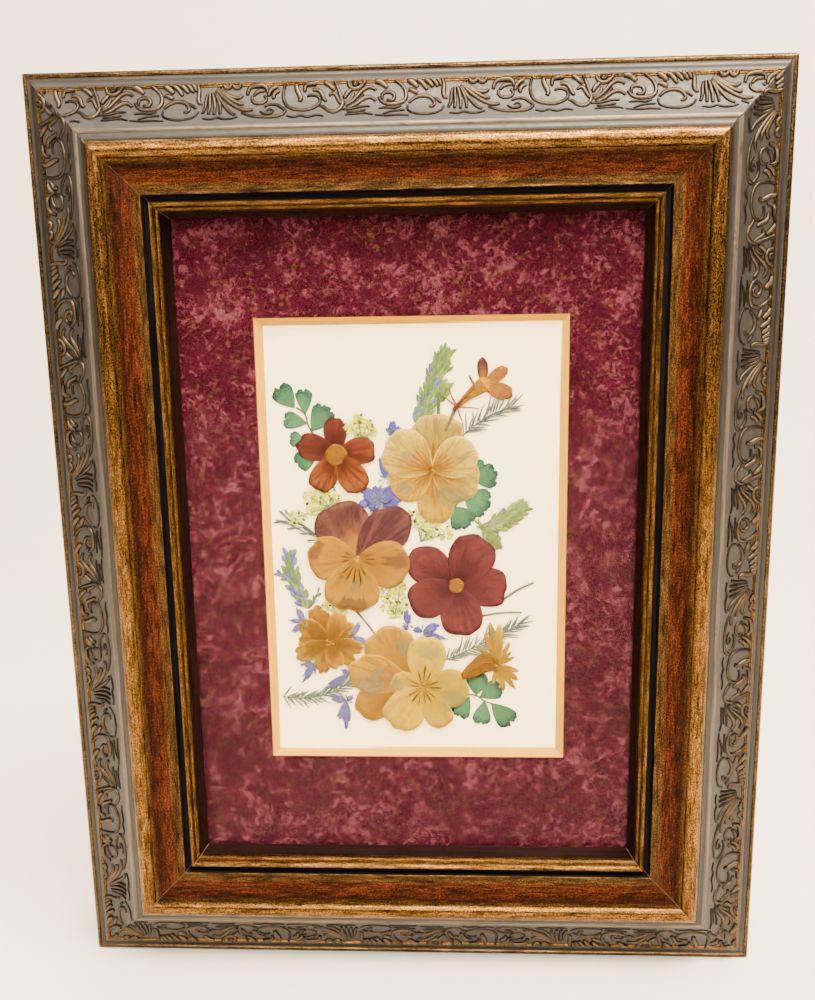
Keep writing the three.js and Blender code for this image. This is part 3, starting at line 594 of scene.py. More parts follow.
def bronze_finish(copper, wood):
    """Bronze wiped off the rolls and left dark in the hollows beside them, streaked along the rail."""
    f = Finish("wiped_bronze", Specular_IOR_Level=0.03)
    spot = f.own()
    drawn = f.noise(f.vector("MULTIPLY", spot, (0.16, 1.7, 1.7)), 1.0, 6, 0.78, 0.3)
    patch = f.noise(f.vector("MULTIPLY", spot, (0.09, 0.42, 0.42)), 1.0, 5, 0.7, 1.2)
    grain = f.noise(f.vector("MULTIPLY", spot, (2.6, 3.2, 3.2)), 1.0, 4, 0.85)
    span = 33  # the millimetres of inset that the ramps cover
    inset = f.math("MULTIPLY", f.axis(spot, 1), 1 / span)
    inset = f.math("ADD", inset, f.math("MULTIPLY", f.math("SUBTRACT", patch, 0.5), 0.06))
    edge = (0.115, 0.066, 0.026)
    body = f.ramp(inset, *((at / span, [c * much for c in tint]) for at, tint, much in (
        (0, edge, 0.6), (1.4, edge, 0.6), (3.4, copper, 0.8), (4.6, copper, 0.8), (16, copper, 0.6),
        (17.2, copper, 1.1), (19.4, copper, 1.0), (20.6, copper, 0.4), (21.6, wood, 0.35), (22.8, wood, 0.5),
        (24.2, wood, 0.72), (25.6, wood, 0.86), (26.6, copper, 0.42), (27.4, copper, 0.34), (28.2, copper, 0.55),
        (30.2, copper, 0.8), (31.4, copper, 0.65), (32.4, copper, 0.2))))
    body = f.mix(1.0, body, f.ramp(drawn, (0.37, 0.25), (0.5, 0.95), (0.62, 1.8)), "MULTIPLY")
    body = f.mix(1.0, body, f.ramp(patch, (0.34, 0.4), (0.5, 0.95), (0.66, 1.25)), "MULTIPLY")
    body = f.mix(1.0, body, f.ramp(grain, (0.4, 0.3), (0.5, 0.9), (0.6, 2.1)), "MULTIPLY")
    body = f.mix(f.ramp(grain, (0.62, 0), (0.68, 0.6)), body, [c * 1.6 for c in copper])
    metal = f.ramp(inset, *((at / span, much) for at, much in (
        (20.2, 1.0), (21.4, 0.12), (23.4, 0.0), (27.6, 0.0), (28.4, 1.0))))
    gloss = f.ramp(inset, (20.2 / span, 0.25), (21.4 / span, 0.4))
    shine = f.math("ADD", gloss, f.ramp(grain, (0.4, 0.0), (0.7, 0.12)))
    return f.set(Base_Color=body, Metallic=metal, Roughness=shine, Normal=f.bump(grain, 0.16, 0.05))


def scroll_gilt_and_painted_shade(dark, bright):
    """Ridges rubbed with gilt wax, bright along their tops; their near-black feet are painted shade."""
    f = Finish("gilt_scrolls_painted_shade", Metallic=0.9)
    spot = f.own()
    rub = f.noise(f.millimetres(), 1.1, 4, 0.7)
    top = f.math("ADD", f.axis(spot, 2), f.math("MULTIPLY", f.math("SUBTRACT", rub, 0.5), 0.35))
    # below their tops the ridges run to the near-black: painted shade at their feet; the bright colour is the
    # rubbed gilt
    body = f.mix(f.ramp(top, (0.25, 0), (0.55, 1)), dark, bright)
    grain = f.noise(f.millimetres(), 6.0, 3, 0.6)
    body = f.shade(body, 0.7, 1.15, grain)
    return f.set(Base_Color=body, Roughness=f.ramp(grain, (0.3, 0.3), (0.7, 0.46)), Normal=f.bump(grain, 0.3, 0.06))


def bare_wood():
    f = Finish("bare_wood", Roughness=0.8)
    rings = f.noise(f.vector("MULTIPLY", f.own(), (0.02, 1.2, 1.2)), 1.0, 6, 0.6)
    body = f.mix(rings, (0.33, 0.21, 0.11), (0.62, 0.45, 0.27))
    pores = f.noise(f.vector("MULTIPLY", f.own(), (0.15, 6, 6)), 1.0, 3, 0.6)
    return f.set(Base_Color=f.shade(body, 0.6, 1.1, pores), Normal=f.bump(pores, 0.3, 0.1))


# ------------------------------------------------------------------------------------ glazing


def marbled_paper():
    """Burgundy covering paper: dark and rosy clouds broken by fine leathery wrinkles."""
    keep = settings()
    f = Finish("marbled_paper", Specular_IOR_Level=0.0)
    flat = f.millimetres((1, 0.2, 1))
    cloud = f.noise(flat, 0.1, 4, 0.6, 0.6)
    flake = f.noise(f.vector("ADD", flat, (40, 0, 9)), 0.5, 8, 0.63, 0.9)
    drift = f.math("ADD", flake, f.math("MULTIPLY", f.math("SUBTRACT", cloud, 0.5), 0.5))
    rust = f.noise(f.vector("ADD", flat, (7, 0, 70)), 0.5, 7, 0.7, 1.6)
    body = f.mix(f.ramp(cloud, (0.35, 0), (0.65, 1)), keep.mat_dark, [c * 1.6 for c in keep.mat_dark])
    body = f.mix(f.ramp(drift, (0.55, 0), (0.56, 1)), body, keep.mat_light)
    body = f.mix(f.ramp(drift, (0.6, 0), (0.615, 1)), body, keep.mat_vein)
    body = f.mix(f.ramp(rust, (0.555, 0), (0.59, 0.75)), body, (0.05, 0.02, 0.012))
    warped = f.vector("ADD", flat, f.noise(flat, 0.9, 4, 0.6, output=1))
    wrinkle = f.cells(warped, 1.25, "DISTANCE_TO_EDGE")
    body = f.mix(f.ramp(wrinkle, (0, 0.4), (0.1, 0)), body, [c * 0.5 for c in keep.mat_dark])
    grain = f.noise(flat, 1.5, 6, 0.8)
    body = f.mix(1.0, body, f.ramp(grain, (0.38, 0.58), (0.5, 0.96), (0.62, 1.5)), "MULTIPLY")
    height = f.math("ADD", f.ramp(wrinkle, (0, 0), (0.2, 1)), grain)
    return f.set(Base_Color=body, Roughness=f.ramp(grain, (0.3, 0.55), (0.7, 0.75)),
                 Normal=f.bump(height, 0.1, 0.06))


def plain_paper(name, tint, rough=0.85, fibre=0.06, spots=0.0):
    f = Finish(name, Roughness=rough, Specular_IOR_Level=0.0)
    spot = f.millimetres()
    pulp = f.noise(spot, 0.5, 5, 0.6)
    tooth = f.noise(spot, 7.0, 3, 0.6)
    body = f.shade(f.shade(tint, 1 - fibre, 1 + fibre * 0.5, pulp), 0.97, 1.02, tooth)
    if spots:
        body = f.mix(f.ramp(f.noise(spot, 1.7, 4, 0.8), (0.68, 0), (0.78, spots)), body, [c * 0.55 for c in tint])
    return f.set(Base_Color=body, Normal=f.bump(tooth, 0.15, 0.05))


def bevel_finish():
    """The cut edge of the mat: tan, with a fine pale line along its inner, back edge."""
    f = Finish("cut_bevel", Roughness=0.7, Specular_IOR_Level=0.0)
    spot = f.own()
    wear = f.noise(f.millimetres(), 2.5, 4, 0.7)
    down = f.axis(spot, 1)
    pale = (0.75, 0.56, 0.2)
    body = f.ramp(down, (0.0, (0.36, 0.18, 0.01)), (0.1, (0.42, 0.2, 0.001)), (0.78, (0.4, 0.19, 0.001)),
                  (0.86, pale), (1, pale))
    body = f.shade(body, 0.75, 1.2, wear)
    return f.set(Base_Color=body, Normal=f.bump(wear, 0.2, 0.06))


def clear_glass():
    f = Finish("clear_glass", Base_Color=(0.985, 0.995, 0.99, 1), Roughness=0.02, IOR=1.1, Transmission_Weight=1.0)
    haze = f.noise(f.millimetres(), 0.05, 3, 0.6)
    return f.set(Roughness=f.ramp(haze, (0.4, 0.0), (0.7, 0.03)))


def stamped_steel():
    f = Finish("stamped_steel", Metallic=1.0)
    brushed = f.noise(f.millimetres((0.3, 0.3, 4)), 1.0, 4, 0.6)
    tarnish = f.noise(f.millimetres(), 0.7, 5, 0.7)
    body = f.mix(f.ramp(tarnish, (0.5, 0), (0.75, 0.6)), (0.5, 0.51, 0.52), (0.28, 0.25, 0.22))
    return f.set(Base_Color=body, Roughness=f.ramp(brushed, (0.3, 0.25), (0.7, 0.45)),
                 Normal=f.bump(brushed, 0.1, 0.03))


def build_mat(paper, bevel, core):
    """The mat board: its papered face, the sloping cut edge of its window, and its plain back."""
    back, front = depths("mat_board")
    low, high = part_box("mat_board")
    half_x, half_y = high.x / MM, (high.z - low.z) / MM / 2
    window_x, window_y, slope = 37.8, 56.7, 1.75  # half the window's opening, and how far its cut edge slopes in
    shift_x, shift_y = 0.7, 0.6  # the window was not cut quite in the middle
    mat = Surface()

    def ring(x, y, z):
        part = min(1.0, (half_x - x) / (half_x - window_x))
        dx, dy = part * shift_x, part * shift_y
        return [(dx + a * x, dy + b * y, z) for a, b in ((1, -1), (1, 1), (-1, 1), (-1, -1), (1, -1))]

    def strip(outer, inner, marks, slot):
        mat.grid([outer, inner], [[(i, m, 0) for i in range(5)] for m in marks], slot)

    turn_over = 0.12  # the paper turns over the edge of the window this far out
    near_x, near_y = window_x + turn_over, window_y + turn_over

    def face_ring(t):
        reach_x, reach_y = t * (half_x - window_x - turn_over), t * (half_y - window_y - turn_over)
        return ring(near_x + reach_x, near_y + reach_y, front)

    steps = 4
    for k in range(steps):  # the face, in rings from the window outwards
        a, b = k / steps, (k + 1) / steps
        strip(face_ring(a), face_ring(b), (a, b), 0)
    rounding = [(turn_over, 0.0), (0.05, 0.02), (0.0, 0.08)]
    for (a, da), (b, db) in zip(rounding, rounding[1:]):
        strip(ring(window_x + b, window_y + b, front - db), ring(window_x + a, window_y + a, front - da), (0, 0), 1)

    def cut_ring(t):
        return ring(window_x - slope * t, window_y - slope * t, front - 0.08 - (front - back - 0.08) * t)

    cuts = (0, 0.16, 0.25, 0.6, 1)
    for a, b in zip(cuts, cuts[1:]):
        strip(cut_ring(b), cut_ring(a), (b, a), 1)
    strip(ring(half_x, half_y, front), ring(half_x, half_y, back), (0, 0), 2)
    strip(ring(half_x, half_y, back), ring(window_x - slope, window_y - slope, back), (0, 0), 2)
    thing = mat.piece("mat", [paper, bevel, core], recalculate=True)
    return hand_in(thing, "mat", "mat_board")


# ------------------------------------------------------------------------------------ outlines


def turned(points, at, degrees):
    """Outline points turned about the origin and then moved to their spot."""
    c, s = math.cos(math.radians(degrees)), math.sin(math.radians(degrees))
    return [(at[0] + x * c - y * s, at[1] + x * s + y * c) for x, y in points]


def petal_outline(length, width, notch=0.0, ruffle=0.0, seed=0.0, steps=34, point=0.0):
    """A petal that grows along x from the origin, without its base; it may be notched or pointed."""
    points = []
    for i in range(steps - 1, 0, -1):
        turn = 2 * math.pi * i / steps
        along = (1 - math.cos(turn)) / 2
        near_tip = math.exp(-(((turn - math.pi) / 0.4) ** 2))
        across = math.sin(turn) * along**0.3 * (1 - point * along**3)
        wave = 1 + ruffle * along * noise.noise(Vector((2.2 * math.cos(turn), 2.2 * math.sin(turn), seed)))
        points.append((length * (along - notch * near_tip) * wave, width / 2 * across * wave))
    return points


def fan_outline(length, spread, lobes, seed):
    """A fern leaflet: round sides, and an outer edge cut into lobes with small round teeth."""
    half, per_lobe, arc = math.radians(spread / 2), 16, []
    for i in range(per_lobe * lobes + 1):
        t = i / per_lobe
        across = 2 * t / lobes - 1
        notch = 0.08 * abs(math.cos(math.pi * t)) ** 12 * (1 - across * across)
        tooth = 0.045 * abs(math.sin(3 * math.pi * t)) + 0.06 * noise.noise(Vector((3 * across, seed, 0)))
        radius = length * (0.97 - 0.2 * across**4 - notch + tooth)
        arc.append((radius * math.cos(across * half), radius * math.sin(across * half)))
    side = [(length * r * math.cos(half * w), length * r * math.sin(half * w))
            for r, w in ((0.16, 1.3), (0.34, 1.24), (0.52, 1.15), (0.68, 1.05))]
    return [(x, -y) for x, y in side] + arc + side[::-1]


def leaf_outline(steps, point=1.0):
    """A slim leaf one long and one wide that grows along x, without its base."""
    side = [(t, 0.5 * math.sin(math.pi * t**0.8) ** point) for t in (i / steps for i in range(1, steps))]
    return [(x, -y) for x, y in side] + [(1, 0)] + side[::-1]


def ring_outline(radius, steps, wave=0.0, seed=0.0):
    """A closed ring about the origin, uneven by wave."""
    angles = [2 * math.pi * i / steps for i in range(steps)]
    reach = [radius * (1 + wave * noise.noise(Vector((2 * math.cos(a), 2 * math.sin(a), seed)))) for a in angles]
    ring = [(r * math.cos(a), r * math.sin(a)) for r, a in zip(reach, angles)]
    return ring + ring[:1]


def bowed(start, end, bow, t):
    """The spot at t along a bowed twig, and the way in degrees that the twig runs there."""
    dx, dy = end[0] - start[0], end[1] - start[1]
    length, sag, slope = math.hypot(dx, dy), 4 * bow * t * (1 - t), 4 * bow * (1 - 2 * t)
    spot = start[0] + t * dx - sag * dy / length, start[1] + t * dy + sag * dx / length
    return spot, math.degrees(math.atan2(dy, dx) + math.atan2(slope, length))


def stem(surface, points, width, height, slot=0, taper=0.75):
    """A round-backed stem through the given points, thinner towards its end."""
    line = smooth_line(points, 0.7)
    count = len(line) - 1
    halves = [width / 2 * (1 - (1 - taper) * i / count) for i in range(count + 1)]
    surface.ribbon(line, halves, height, slot=slot, crown=0.16)


# ------------------------------------------------------------------------------------ sprouts

# From face millimetres to the frame's own metres, for meshes that grow in face millimetres.
FACE_TURN = Matrix((
    (MM, 0, 0, 0), (0, 0, -MM, OUTER_PLANE * MM), (0, MM, 0, HALF_HEIGHT * MM), (0, 0, 0, 1)))


def small_leaf(name, outline, rings, sag, thickness):
    """One small leaf in its own millimetres, for the sprouts to copy."""
    surface = Surface()
    surface.patch((0, 0), outline, 0, rings, 0.5, sag)
    return surface.piece(name, [], thickness, to=lambda x, y, z: Vector((x, y, z)))


def sprout_tree():
    """Sets a copy of one small leaf on every spot, turned and stretched as the spot says."""
    tree = bpy.data.node_groups.new("sprouts", "GeometryNodeTree")
    for name, kind in (
        ("Spots", "NodeSocketGeometry"), ("Leaf", "NodeSocketObject"), ("Finish", "NodeSocketMaterial"),
    ):
        tree.interface.new_socket(name, in_out="INPUT", socket_type=kind)
    tree.interface.new_socket("Sprouts", in_out="OUTPUT", socket_type="NodeSocketGeometry")
    n = Nodes(tree)
    given = tree.nodes.new("NodeGroupInput").outputs
    leaf = n.add("GeometryNodeObjectInfo", (given["Leaf"],), "Geometry")
    lean = n.add("GeometryNodeInputNamedAttribute", ("lean",), data_type="FLOAT_VECTOR")
    size = n.add("GeometryNodeInputNamedAttribute", ("size",), data_type="FLOAT_VECTOR")
    copies = n.add("GeometryNodeInstanceOnPoints", {
        "Points": given["Spots"], "Instance": leaf, "Rotation": lean, "Scale": size})
    real = n.add("GeometryNodeRealizeInstances", (copies,))
    own = n.add("GeometryNodeInputNamedAttribute", ("place",), data_type="FLOAT_VECTOR")
    tone = n.add("GeometryNodeInputNamedAttribute", ("tone",), data_type="FLOAT")
    mark = n.combine(n.axis(own, 0), n.axis(own, 1), tone)
    marked = n.add("GeometryNodeStoreNamedAttribute", {0: real, "Name": "place", "Value": mark},
                   data_type="FLOAT_VECTOR")
    painted = n.add("GeometryNodeSetMaterial", {"Geometry": marked, "Material": given["Finish"]})
    n.feed(tree.nodes.new("NodeGroupOutput").inputs[0], painted)
    return tree


def sprouts(name, leaf, spots, finish, slot, *nodes):
    """Makes one piece of many leaves. A spot is x, y, z, degrees, length, width and tone."""
    mesh = bpy.data.meshes.new(f"{name}_spots")
    mesh.from_pydata([spot[:3] for spot in spots], [], [])
    tip_up = -0.06  # radians
    leans = [value for _, _, _, degrees, *_ in spots for value in (0, tip_up, math.radians(degrees))]
    mesh.attributes.new("lean", "FLOAT_VECTOR", "POINT").data.foreach_set("vector", leans)
    sizes = [value for *_, length, width, _ in spots for value in (length, width, 1)]
    mesh.attributes.new("size", "FLOAT_VECTOR", "POINT").data.foreach_set("vector", sizes)
    tones = [spot[-1] for spot in spots]
    mesh.attributes.new("tone", "FLOAT", "POINT").data.foreach_set("value", tones)
    tree = bpy.data.node_groups.get("sprouts") or sprout_tree()
    thing = grown(name, mesh, tree, {"Leaf": leaf, "Finish": finish}, FACE_TURN)
    for face in thing.data.polygons:
        face.use_smooth = True
    return hand_in(thing, slot, *nodes)


def needle_spots(start, end, bow, pairs, length, width, lean, z, draw):
    """Pairs of needles along a bowed twig, shorter towards its tip."""
    spots = []
    for i in range(pairs):
        t = (i + 0.3) / pairs
        for side, angle in ((1, lean[0]), (-1, lean[1])):
            (x, y), way = bowed(start, end, bow, t)
            reach = length * (0.72 + 0.5 * math.sin(math.pi * (0.15 + 0.7 * t))) * draw.uniform(0.7, 1.2)
            turn = way + side * angle * (1 - 0.45 * t) + draw.uniform(-17, 17)
            spots.append((x, y, z + draw.uniform(-0.04, 0.04), turn, reach, width, draw.random()))
    return spots


def bract_spots(start, end, bow, half_width, rows, each, length, width, z, draw):
    """Overlapping bracts up a spike; each row lies a little behind the one below it."""
    spread = 34  # degrees that the outermost bracts turn away from the spike
    spots = []
    for i in range(rows):
        t = i / (rows - 1)
        (x, y), way = bowed(start, end, bow, t * 0.93)
        half = half_width * math.sin(math.pi * (0.14 + 0.74 * t)) ** 0.7 * 0.7
        for j in range(each):
            across = (2 * (j + 0.5 * (i % 2)) / each - 1 + 0.5 / each) + draw.uniform(-0.16, 0.16)
            side = math.radians(way + 90)
            turn = way + across * spread + draw.uniform(-9, 9)
            spots.append((
                x + across * half * math.cos(side), y + across * half * math.sin(side),
                z - 0.08 * t - 0.03 * abs(across), turn, length * draw.uniform(0.8, 1.15),
                width * draw.uniform(0.8, 1.15), draw.random()))
    return spots


def scattered(x, y, radius, count, z, size, draw, slim=1.0):
    """Small things strewn over a disc, each pointing outwards."""
    spots = []
    for i in range(count):
        turn, reach = i * GOLDEN_ANGLE + draw.uniform(-0.3, 0.3), radius * math.sqrt((i + 0.5) / count)
        spots.append((
            x + reach * math.cos(turn), y + reach * math.sin(turn), z + draw.uniform(0, 0.08),
            math.degrees(turn) + draw.uniform(-25, 25), size * draw.uniform(0.75, 1.25),
            size * slim * draw.uniform(0.75, 1.25), draw.random()))
    return spots


# ------------------------------------------------------------------------------------ specimens

# A flower is its slot, its middle, how ruffled it is, and its petals from the lowest to the one on
# top. A petal is its finish, direction in degrees, length, width and the depth of its notch.
FLOWERS = {
    "rust_flower": ("rust_petal", (-18.2, 23.8), 0.09, (
        ("rust_deep", 92, 9.5, 7, 0.02), ("rust_deep", 162, 10.2, 8.2, 0), ("rust_brown", 9, 10, 8.4, 0.03),
        ("rust_light", -121, 10.8, 8.2, 0.03), ("rust_light", -56, 11.4, 8.8, 0.04))),
    "pale_pansy": ("pale_petal", (5.4, 19.7), 0.07, (
        ("pale_amber", -84, 13.9, 11, 0), ("pale_cream", 80, 14.1, 15.6, 0), ("pale_cream", -22, 12.2, 14, 0),
        ("pale_amber", 206, 11.2, 12.5, 0), ("pale_cream", 148, 13.4, 15, 0), ("pale_cream", 26, 12, 12.6, 0))),
    "purple_pansy": ("purple_petal", (-13.8, -3), 0.08, (
        ("plum_left", 112, 15.6, 17, 0), ("plum_right", 44, 17.6, 13.6, 0), ("plum_side", 178, 12.3, 14, 0),
        ("plum_side", -10, 13.2, 15, 0), ("plum_lower", -100, 14.2, 17, 0.03))),
    "burgundy_flower": ("burgundy_petal", (11.2, -10), 0.06, (
        ("wine", -4, 13.2, 12.6, 0.02), ("wine", 144, 14.2, 12.4, 0), ("wine", -81, 13.6, 13, 0),
        ("wine", 62, 14.4, 14.2, 0.03), ("wine", 206, 13.2, 12.4, 0))),
    "tan_flower": ("tan_petal", (-21.4, -25.2), 0.14, (
        ("mustard", 112, 10.6, 6.6, 0.03), ("mustard", 180, 8.4, 5.8, 0.02), ("mustard", 250, 9, 5.6, 0),
        ("mustard", 316, 8.6, 5, 0.03), ("mustard", 34, 8, 5.8, 0), ("mustard", 144, 9.6, 6.2, 0.02),
        ("mustard", 204, 10, 6, 0), ("mustard", 284, 7.6, 5.6, 0.03), ("mustard", 346, 8.8, 5.4, 0.02),
        ("mustard", 68, 8.8, 6, 0.02))),
    "orange_pansy": ("orange_petal", (-1.4, -35.6), 0.08, (
        ("peach", 60, 9, 9, 0), ("peach", -60, 8, 8, 0), ("peach", 118, 15.8, 16, 0), ("peach", 214, 16, 12, 0),
        ("peach", 170, 15.4, 13, 0))),
    "yellow_pansy": ("yellow_petal", (2.4, -37.4), 0.08, (
        ("primrose", 172, 8.4, 8.6, 0), ("primrose", 83, 14.2, 12, 0.04), ("primrose", -2, 11.8, 12.6, 0),
        ("primrose_low", -126, 13.6, 12.8, 0), ("primrose_low", -62, 12.6, 8.8, 0.04))),
}

# A leaflet is its base, direction, length, spread in degrees and number of lobes. Stems follow.
FERNS = {
    "fern_upper_left": (
        ((-28.2, 35.4, 128, 6.8, 64, 2), (-25.7, 33.7, 92, 6.4, 50, 2), (-25.2, 31.6, 169, 6.1, 56, 2),
         (-24.3, 29.5, 56, 7.6, 62, 3), (-26.2, 27.4, 172, 3.8, 84, 2), (-23, 24.2, 208, 6.2, 66, 2),
         (-19.6, 19.6, -70, 2.8, 60, 2)),
        (((-27.9, 35.6), (-25.7, 33.9), (-25, 31), (-23.2, 27.6), (-22, 23.6), (-19.4, 19.4)),
         ((-23.2, 27.6), (-26.4, 27.4)), ((-22.2, 24.2), (-23.4, 24.1)))),
    "fern_right": (
        ((15.3, 17.6, 6, 6.4, 78, 3), (15.4, 19.4, 42, 3.6, 46, 1), (13.4, 12.8, -22, 6.8, 92, 3),
         (10.8, 10.4, -58, 6.4, 84, 3), (11, 13, 200, 5, 80, 2)),
        (((15.5, 20.4), (15.2, 17.2), (13.2, 12.8), (10.6, 10.2)), ((13.3, 13), (10.8, 13)))),
    "fern_lower_right": (
        ((16.2, -39.8, 86, 6.2, 72, 2), (17.1, -40.3, 28, 6.2, 66, 2), (18.3, -41.3, -98, 6.6, 56, 2),
         (20, -41.9, -46, 8, 56, 2), (14.5, -40.1, -116, 6.6, 52, 2), (11.8, -39.6, -142, 6.2, 70, 2)),
        (((11.6, -39.4), (14.4, -39.6), (16.4, -39.9), (18.4, -41.4), (20.1, -42)),)),
}

# An umbel is the foot of its rays, then the middle and radius of each cluster.
UMBELS = {
    "umbel_upper": ((-12.2, 27.6), ((-12.6, 32.8, 0.6), (-14.6, 30.6, 0.9), (-10.4, 31.2, 0.9), (-12.2, 29.9, 1.3),
                                    (-9, 29.4, 0.6))),
    "umbel_left": ((-20.8, 10.6), ((-25.2, 13, 1.2), (-22.6, 13.4, 1.2), (-23, 11.2, 1.2), (-19.2, 12.6, 1.1),
                                   (-24.6, 9.6, 0.9), (-28.6, 8, 1.3))),
    "umbel_middle": ((2.4, 1.4), ((1, 7.8, 1.5), (2.4, 5.6, 1), (4.6, 3.4, 1), (8.6, 3.4, 1.2), (5.8, 5.4, 0.8))),
    "umbel_centre": ((-4.6, -18), ((-3, -10.2, 1.1), (-6.6, -12, 1.2), (-3.4, -13, 1.2), (-6.2, -15.6, 1.3),
                                   (-2.6, -15.8, 1.1), (-4.4, -17.2, 1.1))),
    "umbel_small": ((-19.8, -17.6), ((-22, -15.6, 0.7), (-20.6, -15.4, 0.6), (-18, -16.8, 0.6))),
}

# A floret is its middle, then the direction, length and width of each petal.
BLUE_FLORETS = (
    ((-4, 29.2), (96, 3, 2.4), (152, 2, 1.8), (36, 2.2, 1.8), (240, 1.4, 1.4)),
    ((-8, 12.2), (150, 5.4, 4.4), (192, 5, 3.6), (232, 3.6, 3.4), (96, 3.8, 3.6), (44, 4.8, 3.6), (8, 5.8, 4.4),
     (-22, 5.4, 3.8)),
    ((-6.4, 17.6), (100, 5.6, 1.9), (60, 3.8, 1.6)),
    ((-1.2, -20.6), (94, 4, 2.7), (-120, 1.6, 1.8)),
    ((2.6, -22.4), (24, 4.4, 3), (160, 2.6, 2.2), (-30, 3.2, 2.4), (-20, 6.2, 1.9)),
    ((-28, -19.8), (112, 4, 2.4), (172, 3.8, 1.7), (222, 4.4, 2)),
    ((-26, -31), (188, 3.2, 2.2), (242, 5.4, 2.6), (280, 3, 1.2)),
    ((-15.8, -23.6), (62, 4.2, 2.6), (-26, 4.4, 2.2)),
    ((-16.6, -34), (214, 7.2, 3.2), (40, 4.8, 3), (150, 2.6, 2)),
    ((-17.6, -41.4), (164, 3.9, 3), (-92, 7.3, 3.2), (-114, 5.4, 2.4), (40, 2.2, 2)),
)


DRY = {"Roughness": 0.6, "Specular_IOR_Level": 0.02}  # pressed things hardly shine


def petal_finish(name, *stops, vein, rim, veins=0.5, blotch=None, lines=None, under=()):
    """A pressed petal. Its colours run from base to tip, and its veins spread from the base.

    blotch is a colour and how much of it shows; lines are a colour, where short dark guide lines
    start and end, and how many there are; under are the patches where something below shows
    through, as middle, half length, half width, direction and colour.
    """
    f = Finish(name, **DRY)
    spot = f.own()
    across, out, tone = (f.axis(spot, number) for number in range(3))
    flat = f.vector("ADD", f.millimetres((1, 0.1, 1)), f.combine(f.math("MULTIPLY", tone, 37.0)))
    cloud = f.noise(flat, 0.42, 5, 0.65, 0.8)
    fan = f.combine(f.math("MULTIPLY", across, 22.0), f.math("MULTIPLY", out, 1.3), f.math("MULTIPLY", tone, 60.0))
    ribs = f.noise(fan, 1.0, 5, 0.62, 0.5)
    crepe = f.noise(flat, 1.5, 5, 0.75)
    drift = f.math("ADD", out, f.math("MULTIPLY", f.math("SUBTRACT", cloud, 0.5), 0.55))
    body = f.ramp(drift, *stops)
    if blotch:
        tint, amount = blotch
        stain = f.noise(f.vector("ADD", flat, (9, 3, 5)), 0.3, 5, 0.7, 1.4)
        body = f.mix(f.ramp(stain, (0.5, 0), (0.64, amount)), body, tint)
    body = f.mix(f.ramp(ribs, (0.515, 0), (0.57, veins)), body, vein)
    for (x, y), length, width, degrees, tint in under:
        inside = f.add("ShaderNodeMapping", {
            "Vector": f.millimetres(), "Location": (x, 0, y + HALF_HEIGHT),
            "Rotation": (0, -math.radians(degrees), 0), "Scale": (length, 1000, width)}, vector_type="TEXTURE")
        fray = 3.2 if tint == PLUM else 0.8  # plum runs out along the veins, and leaves end more crisply
        ragged = f.math("ADD", f.math("MULTIPLY", cloud, 1.2), f.math("MULTIPLY", ribs, fray))
        ragged = f.math("SUBTRACT", ragged, 0.6 + fray / 2)
        reach = f.math("ADD", f.vector("LENGTH", inside, output=1), ragged)
        body = f.mix(f.ramp(reach, (0.8, 0.72), (1.02, 0)), body, tint)
    threads = f.noise(f.vector("MULTIPLY", fan, (3.2, 1.6, 1)), 1.0, 4, 0.7, 0.4)
    body = f.mix(f.ramp(threads, (0.5, 0), (0.54, veins), (0.6, 0)), body, vein)
    if lines:
        tint, start, end, count = lines
        wave = f.math("PINGPONG", f.math("MULTIPLY", across, count), 0.5)
        thin = f.ramp(wave, (0.0, 1.0), (0.1, 0.9), (0.2, 0))
        reach = f.math("ADD", out, f.math("MULTIPLY", f.math("SUBTRACT", ribs, 0.5), 0.4))
        window = f.ramp(reach, (start - 0.03, 0), (start + 0.03, 1), (end - 0.06, 1), (end, 0))
        body = f.mix(f.math("MULTIPLY", thin, window), body, tint)
    body = f.mix(f.ramp(out, (0.945, 0), (0.985, 0.8)), body, rim)
    body = f.shade(body, 0.76, 1.04, tone)
    body = f.mix(1.0, body, f.ramp(crepe, (0.36, 0.8), (0.64, 1.2)), "MULTIPLY")
    height = f.math("ADD", f.math("MULTIPLY", ribs, 1.6), f.math("ADD", threads, crepe))
    return f.set(Base_Color=body, Normal=f.bump(height, 0.4, 0.1))


def sprout_finish(name, base, body, tip, odd=None, often=0.15):
    """Small leaves: base, body and tip colours along each, and an odd colour on some of them."""
    f = Finish(name, **DRY)
    spot = f.own()
    across, out, tone = (f.axis(spot, number) for number in range(3))
    speck = f.noise(f.millimetres(), 3.0, 4, 0.7)
    paint = f.ramp(out, (0, base), (0.45, body), (0.8, body), (0.97, tip))
    if odd:
        paint = f.mix(f.ramp(tone, (1 - often - 0.02, 0), (1 - often + 0.02, 1)), paint, odd)
    split = f.math("FRACT", f.math("MULTIPLY", tone, 7.3))
    paint = f.shade(f.shade(paint, 0.7, 1.3, split), 0.6, 1.35, speck)
    edge = f.math("ABSOLUTE", f.math("SUBTRACT", across, 0.5))
    paint = f.mix(f.ramp(edge, (0.28, 0), (0.45, 0.85)), paint, [c * 0.35 for c in tip])
    return f.set(Base_Color=paint, Normal=f.bump(speck, 0.35, 0.08))


def stem_finish(name, dark, light):
    f = Finish(name, **DRY)
    flat = f.millimetres((1, 0.1, 1))
    streak = f.noise(f.vector("MULTIPLY", f.own(), (4, 22, 1)), 1.0, 4, 0.6)
    speck = f.noise(flat, 1.6, 4, 0.7)
    body = f.mix(f.ramp(speck, (0.36, 0), (0.64, 1)), dark, light)
    return f.set(Base_Color=f.shade(body, 0.7, 1.3, streak), Normal=f.bump(streak, 0.4, 0.06))


